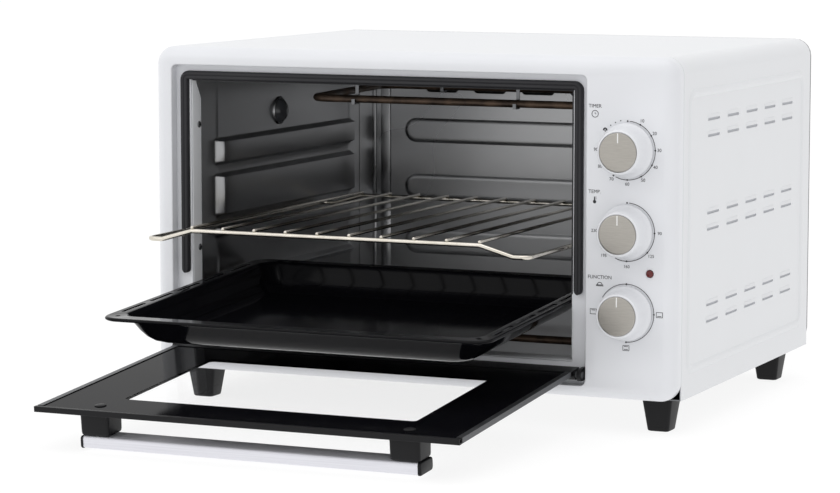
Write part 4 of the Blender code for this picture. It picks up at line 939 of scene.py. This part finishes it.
def make_lamp():
    low, high = span("lamp_cover")
    centre = (low + high) / 2
    radius = (high.z - low.z) / 2
    wall = WALL_LEFT
    outside = dome(radius, wall + CLEAR, 0.0081)
    inside = dome(radius - 0.0017, wall + CLEAR, 0.0064)
    neck = [(radius - 0.0018, wall + CLEAR), (radius - 0.0018, wall - 0.004),
            (radius - 0.0032, wall - 0.004), (radius - 0.0032, wall)]
    mesh_piece(turned(outside[::-1] + neck + inside[1:], (centre.y, centre.z), "X", 32),
               "lamp_cover_glass", "clear_glass", replaces=("lamp_cover",), smooth=50)
    section = [(radius + 0.0004, wall + 0.0001), (radius + 0.0018, wall + 0.0001),
               (radius + 0.0018, wall + 0.0010), (radius + 0.0012, wall + 0.0016),
               (radius + 0.0004, wall + 0.0012)]
    mesh_piece(turned(section, (centre.y, centre.z), "X", 32), "lamp_ring", "cavity_steel", smooth=50)


# ---------------------------------------------------------------- rack and tray
def make_rack():
    low, high = span("wire_rack")
    wire = 0.0020
    rod = 0.0015
    level = low.z + wire
    rise = 0.0085
    bend = 0.044
    left = low.x + wire
    right = high.x - wire
    front = low.y + wire
    back = high.y - wire
    top = level + rise
    flat = 0.014
    corners = [(left, front, level), (left + flat, front, level), (left + bend, front, top),
               (right - bend, front, top), (right - flat, front, level), (right, front, level),
               (right, back, level), (right - flat, back, level), (right - bend, back, top),
               (left + bend, back, top), (left + flat, back, level), (left, back, level)]
    bm = bmesh.new()
    add_tube(bm, round_path(corners, 0.007, 8, closed=True), wire, 18, closed=True)
    count = 10
    first = left + bend
    pitch = (right - bend - first) / (count - 1)
    z = top + wire + rod - 0.0006
    for k in range(count):
        x = first + k * pitch
        profile = [(0, front - 0.0012), (rod * 0.7, front - 0.0012), (rod, front - 0.0006),
                   (rod, back + 0.0006), (rod * 0.7, back + 0.0012), (0, back + 0.0012)]
        add_lathe(bm, profile, (x, z), "Y", 14)
    mesh_piece(bm, "wire_rack_chromed", "chrome_wire", "rack", ("wire_rack",), smooth=60)


def make_tray():
    low = span("baking_tray")[0]
    half = (OPEN_RIGHT - OPEN_LEFT) / 2 - 0.0033
    length = 0.300
    flange = 0.013
    depth = 0.027
    thick = 0.0011
    bead = 0.0030
    tip = Vector((MID_X, low.y, TRAY_TIP_Z))
    # inner and outer offset from the flange, share of the depth, share of the sheet
    wall = ((0.0070, 0.0058, 0.30, 0.4), (0.0105, 0.0092, 0.52, 0.5), (0.0145, 0.0132, 0.72, 0.6),
            (0.0190, 0.0180, 0.865, 0.8), (0.0245, 0.0240, 0.945, 0.95))
    inner = [(flange, 0.0), (flange + 0.0012, -0.0004), (flange + 0.0024, -0.0015),
             (flange + 0.0036, -0.0034)]
    inner += [(flange + near, -depth * share) for near, far, share, sheet in wall]
    inner.append((flange + 0.0310, -depth + thick))
    upper = [(0.0030, -0.0001), (0.0021, 0.0001), (0.0012, 0.0000)]
    edge = [(0.0005, -0.0004), (0.0001, -0.0010), (0.0000, -0.0017), (0.0003, -0.0024),
            (0.0010, -bead + 0.0001), (0.0018, -bead + 0.0002), (0.0024, -bead + 0.0008)]
    outer = [(0.0026, -thick), (flange - 0.0008, -thick), (flange + 0.0012, -0.0020),
             (flange + 0.0026, -0.0042)]
    outer += [(flange + far, -depth * share - thick * sheet) for near, far, share, sheet in wall]
    outer.append((flange + 0.0310, -depth))
    tilt = Matrix.Translation(tip) @ Matrix.Rotation(TRAY_TILT, 4, "X")
    rings = []
    for inset, z in list(reversed(inner)) + upper + edge + outer:
        radius = max(0.016 - inset * 0.10, 0.006)
        outline = rounded(-half + inset, half - inset, inset, length - inset, radius, 10)
        rings.append([tilt @ Vector((x, y, z)) for x, y in outline])
    tray = mesh_piece(lofted(rings), "enamel_tray", "black_enamel", "tray", ("baking_tray",), smooth=50)
    bm = bmesh.new()
    deep = 0.006
    for side in (-1, 1):
        x = side * (half - flange * 0.54)
        for k in range(5):
            y0 = 0.030 + k * 0.050
            outline = stadium(y0, y0 + 0.040, x - 0.0020, x + 0.0020, 5)
            add_loft(bm, [[Vector((across, along, z)) for along, across in outline] for z in (-deep, deep)])
        for y in (0.0125, length - 0.0125):
            add_pin(bm, 0.0022, -deep, deep, (side * (half - 0.0125), y), "Z", 16)
    bmesh.ops.transform(bm, matrix=tilt, verts=bm.verts)
    carve(tray, bm)


# ---------------------------------------------------------------- door
DOOR_LEFT = span("door_side_trim_left")[0].x
DOOR_RIGHT = span("door_side_trim_right")[1].x
DOOR_FACE = 0.0050
GLASS = 0.0030
LIP = 0.0006
POST_HEIGHT = 0.0200
POST_HALF = 0.0140
BAR_HEIGHT = 0.0108
BAR_HALF = 0.0125
DOOR_LENGTH = (RECESS_HIGH - 0.0039) - HINGE.z
GLASS_TOP = DOOR_FACE - LIP - CLEAR
GLASS_LOW = GLASS_TOP - GLASS
DOOR_BOTTOM = GLASS_LOW - LIP - CLEAR
HANDLE_AT = DOOR_LENGTH - 0.0205   # middle of the handle, from the hinge
POSTS = {"left": DOOR_LEFT + 0.0520, "right": DOOR_RIGHT - 0.0520}


def on_door(x, s, h):
    """A point from its distance to the hinge and its height above the axis."""
    return DOOR_SPIN @ Vector((x, -s, h))


def door_prism(bm, outline, start, end):
    """Extrude (distance, height) pairs across the door."""
    add_loft(bm, [[on_door(x, s, h) for s, h in outline] for x in (start, end)])


def window_outline():
    """The clear window, from the left edge to the right and from near the hinge to the free edge."""
    left, right = -0.1653, 0.1036
    low, high = 0.0510, 0.2066
    return rounded(left, right, low, high, 0.004, 6)


def make_door_glass():
    left = DOOR_LEFT + 0.0013
    right = DOOR_RIGHT - 0.0013
    s_low = 0.0058
    s_high = DOOR_LENGTH - 0.0016
    bm = bmesh.new()
    rings = []
    bevel = 0.0004
    for inset, h in ((bevel, GLASS_LOW), (0.0, GLASS_LOW + bevel), (0.0, GLASS_TOP - bevel),
                     (bevel, GLASS_TOP)):
        outline = rounded(left + inset, right - inset, s_low + inset, s_high - inset, 0.003, 3)
        rings.append([on_door(x, s, h) for x, s in outline])
    add_loft(bm, rings)
    mesh_piece(bm, "door_pane", "door_glass", "door", ("door_glass",), smooth=30)
    for name, h, way in (("door_print_inner", GLASS_TOP, 1), ("door_print_outer", GLASS_LOW, -1)):
        bm = bmesh.new()
        window = window_outline()
        outer = rounded(left + 0.0005, right - 0.0005, s_low + 0.0005, s_high - 0.0005, 0.003, 6)
        near = h + way * 0.00003
        far = h + way * 0.00020
        rings = [[on_door(x, s, near) for x, s in outer], [on_door(x, s, far) for x, s in outer],
                 [on_door(x, s, far) for x, s in window], [on_door(x, s, near) for x, s in window]]
        add_loft(bm, rings, closed=True)
        mesh_piece(bm, name, "door_glass", "door", smooth=0, looks="black_print")


def make_door_trims():
    wall = 0.0009
    width = 0.0055
    r = 0.00025
    for name, edge, sign in (("left", DOOR_LEFT, 1), ("right", DOOR_RIGHT, -1)):
        top = DOOR_FACE
        bottom = DOOR_BOTTOM
        section = [(0, top - r), (r, top), (width - r, top), (width, top - r), (width, top - LIP),
                   (wall, top - LIP), (wall, bottom + LIP), (width, bottom + LIP), (width, bottom + r),
                   (width - r, bottom), (r, bottom), (0, bottom + r)]
        bm = bmesh.new()
        rings = [[on_door(edge + sign * a, s, h) for a, h in section] for s in (0.0123, DOOR_LENGTH - 0.0058)]
        add_loft(bm, rings)
        mesh_piece(bm, f"door_edge_{name}", "trim_grey", "door", (f"door_side_trim_{name}",), smooth=30)
    top = DOOR_FACE
    bottom = DOOR_BOTTOM
    free = DOOR_LENGTH
    section = [(free, top - r), (free - r, top), (free - 0.0040 + r, top), (free - 0.0040, top - r),
               (free - 0.0040, top - LIP), (free - wall, top - LIP), (free - wall, bottom + LIP),
               (free - 0.0040, bottom + LIP), (free - 0.0040, bottom + r), (free - 0.0040 + r, bottom),
               (free - r, bottom), (free, bottom + r)]
    bm = bmesh.new()
    door_prism(bm, section, DOOR_LEFT, DOOR_RIGHT)
    mesh_piece(bm, "door_edge_front", "black_plastic", "door", ("door_top_trim",), smooth=30)


def make_handle():
    top = GLASS_LOW - CLEAR
    low = top - POST_HEIGHT
    for side, x in POSTS.items():
        rings = []
        half_s = 0.0130
        for h, grow in ((top, 0.0), (top - 0.0006, 0.0), (top - 0.004, -0.0005), (low + 0.003, -0.0007),
                        (low + 0.0012, -0.0010), (low + 0.0004, -0.0016), (low, -0.0024)):
            outline = rounded(x - POST_HALF - grow, x + POST_HALF + grow, HANDLE_AT - half_s - grow,
                              HANDLE_AT + half_s + grow, 0.003, 8)
            rings.append([on_door(a, s, h) for a, s in outline])
        mesh_piece(lofted(rings), f"handle_stand_{side}", "black_plastic", "door", (f"handle_post_{side}",),
                   smooth=40)
    bar_top = low - CLEAR
    bar_low = bar_top - BAR_HEIGHT
    x_low = POSTS["left"] - POST_HALF
    x_high = POSTS["right"] + POST_HALF
    rings = []
    cap = 0.0026
    for a in (x_low + cap, x_high - cap):
        outline = rounded(HANDLE_AT - 0.0120, HANDLE_AT + 0.0120, bar_low + 0.0003, bar_top - 0.0003,
                          0.0024, 8)
        rings.append([on_door(a, s, h) for s, h in outline])
    mesh_piece(lofted(rings), "handle_grip", "handle_bar", "door", ("handle_bar",), smooth=40)
    bm = bmesh.new()
    for a, b, out in ((x_low, x_low + cap, 1), (x_high, x_high - cap, -1)):
        rings = []
        for x, shrink in ((a, 0.0010), (a + out * 0.0004, 0.0003), (a + out * 0.0010, 0.0), (b, 0.0)):
            outline = rounded(HANDLE_AT - BAR_HALF + shrink, HANDLE_AT + BAR_HALF - shrink,
                              bar_low + shrink, bar_top - shrink, 0.0024, 8)
            rings.append([on_door(x, s, h) for s, h in outline])
        add_loft(bm, rings)
    mesh_piece(bm, "handle_end_caps", "black_plastic", "door", smooth=40)
    for side, x in POSTS.items():
        face = DOOR_FACE - LIP
        bm = bmesh.new()
        profile = [(0, face), (0.0050, face), (0.0050, face + 0.0002)]
        profile += dome(0.0050, face + 0.0003, 0.0010)
        add_lathe(bm, profile, (x, -HANDLE_AT), "Z", 32)
        bmesh.ops.transform(bm, matrix=DOOR_SPIN, verts=bm.verts)
        mesh_piece(bm, f"handle_screw_head_{side}", "black_plastic", "door", (f"handle_screw_{side}",),
                   smooth=50)


# ---------------------------------------------------------------- knobs and dials
def make_knobs():
    for name, centre in KNOBS.items():
        y = FACE_Y
        spot = (centre.x, centre.z)
        body = f"{name}_dial"
        skirt = [(0, y - 0.0012), (0.0228, y - 0.0012), (0.0235, y - 0.0018), (0.0235, y - 0.0030),
                 (0.0231, y - 0.0038), (0.0224, y - 0.0044), (0.0214, y - 0.0060), (0.0203, y - 0.0100),
                 (0.0197, y - 0.0160), (0.0193, y - 0.0205), (0.0190, y - 0.0226), (0.0186, y - 0.0235),
                 (0.0180, y - 0.0240), (0.0174, y - 0.0240), (0.0171, y - 0.0237), (0.0170, y - 0.0227),
                 (0, y - 0.0227)]
        item = mesh_piece(turned(skirt, spot, "Y", 72), f"{name}_dial_skirt",
                          "white_plastic", body, (f"{name}_knob",), smooth=40)
        bm = bmesh.new()
        add_pin(bm, 0.0033, y - 0.0152, y, spot, "Y", 24)
        carve(item, bm)
        cap = [(0, y - 0.0230), (0.0167, y - 0.0230), (0.0167, y - 0.0237), (0.0163, y - 0.02405),
               (0.0156, y - 0.0242), (0, y - 0.0242)]
        mesh_piece(turned(cap, spot, "Y", 64), f"{name}_dial_cap", "knob_cap", body,
                   (f"{name}_knob_cap",), smooth=40)
        bm = bmesh.new()
        add_soft_box(bm, (centre.x - 0.0005, y - 0.02445, centre.z + 0.0080),
                     (centre.x + 0.0005, y - 0.02410, centre.z + 0.0162), 0.00015, 2)
        mesh_piece(bm, f"{name}_pointer", None, body, smooth=40, looks="pointer")


INK_Y = FACE_Y - 0.00012


def clock(centre, radius, degrees):
    angle = radians(degrees)
    return Vector((centre.x + radius * sin(angle), INK_Y, centre.z + radius * cos(angle)))


def add_dot(bm, spot, radius, sides=14):
    add_pin(bm, radius, spot.y, spot.y + 0.0001, (spot.x, spot.z), "Y", sides)


def add_arc(bm, centre, radius, width, start, end, steps=40):
    rings = []
    for k in range(steps + 1):
        degrees = start + (end - start) * k / steps
        inner = clock(centre, radius - width / 2, degrees)
        outer = clock(centre, radius + width / 2, degrees)
        back = Vector((0, 0.0001, 0))
        rings.append([inner, outer, outer + back, inner + back])
    add_loft(bm, rings)


def add_line(bm, spot, first, second, width):
    """A stroke between two places given across and up from a spot."""
    ends = [spot + Vector((across, 0, up)) for across, up in (first, second)]
    along = (ends[1] - ends[0]).normalized()
    side = Vector((-along.z, 0, along.x)) * width / 2
    back = Vector((0, 0.0001, 0))
    add_loft(bm, [[p + side, p - side, p - side + back, p + side + back] for p in ends])


def add_words(name, words, spot, size):
    """Printed characters as a thin mesh, standing on the panel face."""
    curve = bpy.data.curves.new(name, "FONT")
    curve.body = words
    curve.size = size
    curve.align_x = "CENTER"
    curve.align_y = "CENTER"
    curve.extrude = 0.00004
    curve.resolution_u = 3
    item = in_scene(name, curve)
    graph = bpy.context.evaluated_depsgraph_get()
    mesh = bpy.data.meshes.new_from_object(item.evaluated_get(graph))
    bpy.data.objects.remove(item, do_unlink=True)
    mesh.transform(Matrix.Translation(spot) @ Matrix.Rotation(pi / 2, 4, "X"))
    made = in_scene(name, mesh)
    mesh.materials.clear()
    mesh.materials.append(MATERIALS["ink"])
    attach(made, "cabinet")
    return made


def make_dials():
    bm = bmesh.new()
    timer = KNOBS["timer"]
    heat = KNOBS["thermostat"]
    mode = KNOBS["function"]
    circle = 0.0250
    number = 0.0286
    for centre, start, end in ((timer, 4, 205), (heat, 4, 205), (mode, -60, 180)):
        add_dot(bm, clock(centre, circle, 0), 0.0008)
        add_arc(bm, centre, circle, 0.00058, start, end, 60)
    for k, degrees in enumerate((27, 58, 88, 118, 150, 180, 210, 240, 270)):
        add_words(f"timer_mark_{k}", str((k + 1) * 10), clock(timer, number, degrees), 0.0040)
        add_dot(bm, clock(timer, circle, degrees), 0.00078)
    for degrees in (-14, -25, -36):
        add_dot(bm, clock(timer, circle + 0.001, degrees), 0.00055)
    bell = clock(timer, circle + 0.0015, -50)
    add_arc(bm, bell, 0.0014, 0.0012, -90, 90, 10)
    add_line(bm, bell, (-0.0020, -0.0002), (0.0020, -0.0002), 0.0006)
    add_dot(bm, bell + Vector((0, 0, -0.0011)), 0.0005)
    for k, degrees in enumerate((90, 132, 180, 225, 270)):
        add_words(f"heat_mark_{k}", str(90 + 35 * k), clock(heat, number + 0.0010, degrees), 0.0038)
        add_dot(bm, clock(heat, circle, degrees), 0.00078)
    for index, degrees in enumerate((90, 180, 270)):
        spot = clock(mode, number + 0.0014, degrees)
        wide = 0.0028
        tall = 0.0022
        corners = [(-wide, -tall), (wide, -tall), (wide, tall), (-wide, tall)]
        for first, second in zip(corners, corners[1:] + corners[:1]):
            add_line(bm, spot, first, second, 0.00045)
        if index in (0, 1):
            add_line(bm, spot, (-0.0018, -0.0012), (0.0018, -0.0012), 0.0005)
        if index in (1, 2):
            add_line(bm, spot, (-0.0018, 0.0012), (0.0018, 0.0012), 0.0005)
        add_dot(bm, clock(mode, circle, degrees), 0.00078)
    spots = {}
    for words, centre, over, up in (("TIMER", timer, 0.0295, 0.0370), ("TEMP.", heat, 0.0295, 0.0335),
                                    ("FUNCTION", mode, 0.0243, 0.0297)):
        spot = Vector((centre.x - over, INK_Y, centre.z + up))
        add_words(f"label_{words.strip('.').lower()}", words, spot, 0.0043)
        spots[words] = spot + Vector((0, 0, -0.0066))
    clock_icon = spots["TIMER"]
    add_arc(bm, clock_icon, 0.0029, 0.00055, 0, 360, 28)
    for end in ((0, 0.0015), (0.0011, 0)):
        add_line(bm, clock_icon, (0, 0), end, 0.00045)
    stem = spots["TEMP."]
    add_dot(bm, stem + Vector((0, 0, -0.0020)), 0.0015)
    add_line(bm, stem, (0, -0.0016), (0, 0.0023), 0.0011)
    for k in range(3):
        z = 0.0003 + k * 0.0009
        add_line(bm, stem, (0.0009, z), (0.0018, z), 0.00035)
    pot = spots["FUNCTION"]
    for k in range(2):
        level = Vector((0, 0, -0.0008 * k))
        add_line(bm, pot + level, (-0.0033, 0), (0.0033, 0), 0.00060)
    add_arc(bm, pot, 0.0022, 0.00060, -90, 90, 14)
    mesh_piece(bm, "dial_print", None, smooth=0, looks="ink")
    centre = middle_of("indicator_lens")
    lens = [(0, FACE_Y + 0.0065), (0.0032, FACE_Y + 0.0065)] + dome(0.0032, FACE_Y - 0.0005, -0.0017)
    mesh_piece(turned(lens, (centre.x, centre.z), "Y", 32), "lamp_lens_red", "lamp_red",
               replaces=("indicator_lens",), smooth=60)


# ---------------------------------------------------------------- carried-over nodes
def dress_nodes():
    slots = {row["node"]: row["material_slot"] for row in frame["record"]["subparts"]}
    for node, slot in slots.items():
        item = frame["nodes"][node]
        looks = MATERIALS[slot]
        if not item.data.materials:
            item.data.materials.append(looks)
        for index in range(len(item.material_slots)):
            item.material_slots[index].material = looks


# ---------------------------------------------------------------- studio
def make_studio():
    scene = bpy.context.scene
    scene.view_settings.view_transform = "Standard"
    world = bpy.data.worlds.new("studio")
    scene.world = world
    world.use_nodes = True
    background = world.node_tree.nodes["Background"]
    background.inputs["Strength"].default_value = 1.0
    coord = world.node_tree.nodes.new("ShaderNodeTexCoord")
    split = world.node_tree.nodes.new("ShaderNodeSeparateXYZ")
    fade = world.node_tree.nodes.new("ShaderNodeMapRange")
    for entry, value in (("From Min", -0.15), ("From Max", 1.0), ("To Min", 1.0), ("To Max", 0.74)):
        fade.inputs[entry].default_value = value
    world.node_tree.links.new(coord.outputs["Generated"], split.inputs["Vector"])
    world.node_tree.links.new(split.outputs["X"], fade.inputs["Value"])
    world.node_tree.links.new(fade.outputs["Result"], background.inputs["Color"])
    bm = bmesh.new()
    size = 12.0
    points = [(-size, -size, 0), (size, -size, 0), (size, size, 0), (-size, size, 0)]
    bm.faces.new([bm.verts.new(p) for p in points])
    floor = in_scene("floor", as_mesh(bm, "floor"))
    floor.data.materials.append(principled("floor_white", (0.16, 0.16, 0.16), 0.8,
                                           Emission_Color=(1.0, 1.0, 1.0, 1.0),
                                           Emission_Strength=0.88, Specular_IOR_Level=0.0))

    def area(name, spot, target, size_x, size_y, power, colour=(1, 1, 1)):
        light = bpy.data.lights.new(name, "AREA")
        light.shape = "RECTANGLE"
        light.size = size_x
        light.size_y = size_y
        light.energy = power
        light.color = colour
        item = in_scene(name, light)
        item.location = spot
        item.rotation_euler = (Vector(target) - Vector(spot)).to_track_quat("-Z", "Y").to_euler()

    area("key", (-1.6, -2.2, 2.0), (0, 0, 0.15), 1.6, 1.2, 5.0)
    area("top", (0.2, -0.2, 2.4), (0, 0, 0.1), 2.4, 1.8, 9.0)


def make_camera():
    scene = bpy.context.scene
    data = bpy.data.cameras.new("camera")
    data.sensor_width = 36.0
    data.lens = 129.63
    data.shift_x = -0.0554
    data.shift_y = 0.0024
    data.clip_end = 50.0
    camera = in_scene("camera", data)
    forward = Vector((-0.3917, 0.9128, -0.1153)).normalized()
    turn = forward.to_track_quat("-Z", "Y").to_matrix().to_4x4()
    roll = Matrix.Rotation(0.0018, 4, "Z")
    camera.matrix_world = Matrix.Translation((1.0887, -2.4012 + FACE_Y, 0.4590)) @ turn @ roll
    scene.camera = camera


make_camera()
make_studio()
dress_nodes()
make_front_panel()
make_housing()
make_screws()
make_feet()
make_side_wall("cavity_left_wall", -1)
make_side_wall("cavity_right_wall", 1)
make_back_wall()
make_front_frame()
make_gasket()
make_heaters()
make_lamp()
make_rack()
make_tray()
make_door_glass()
make_door_trims()
make_handle()
make_knobs()
make_dials()

import json
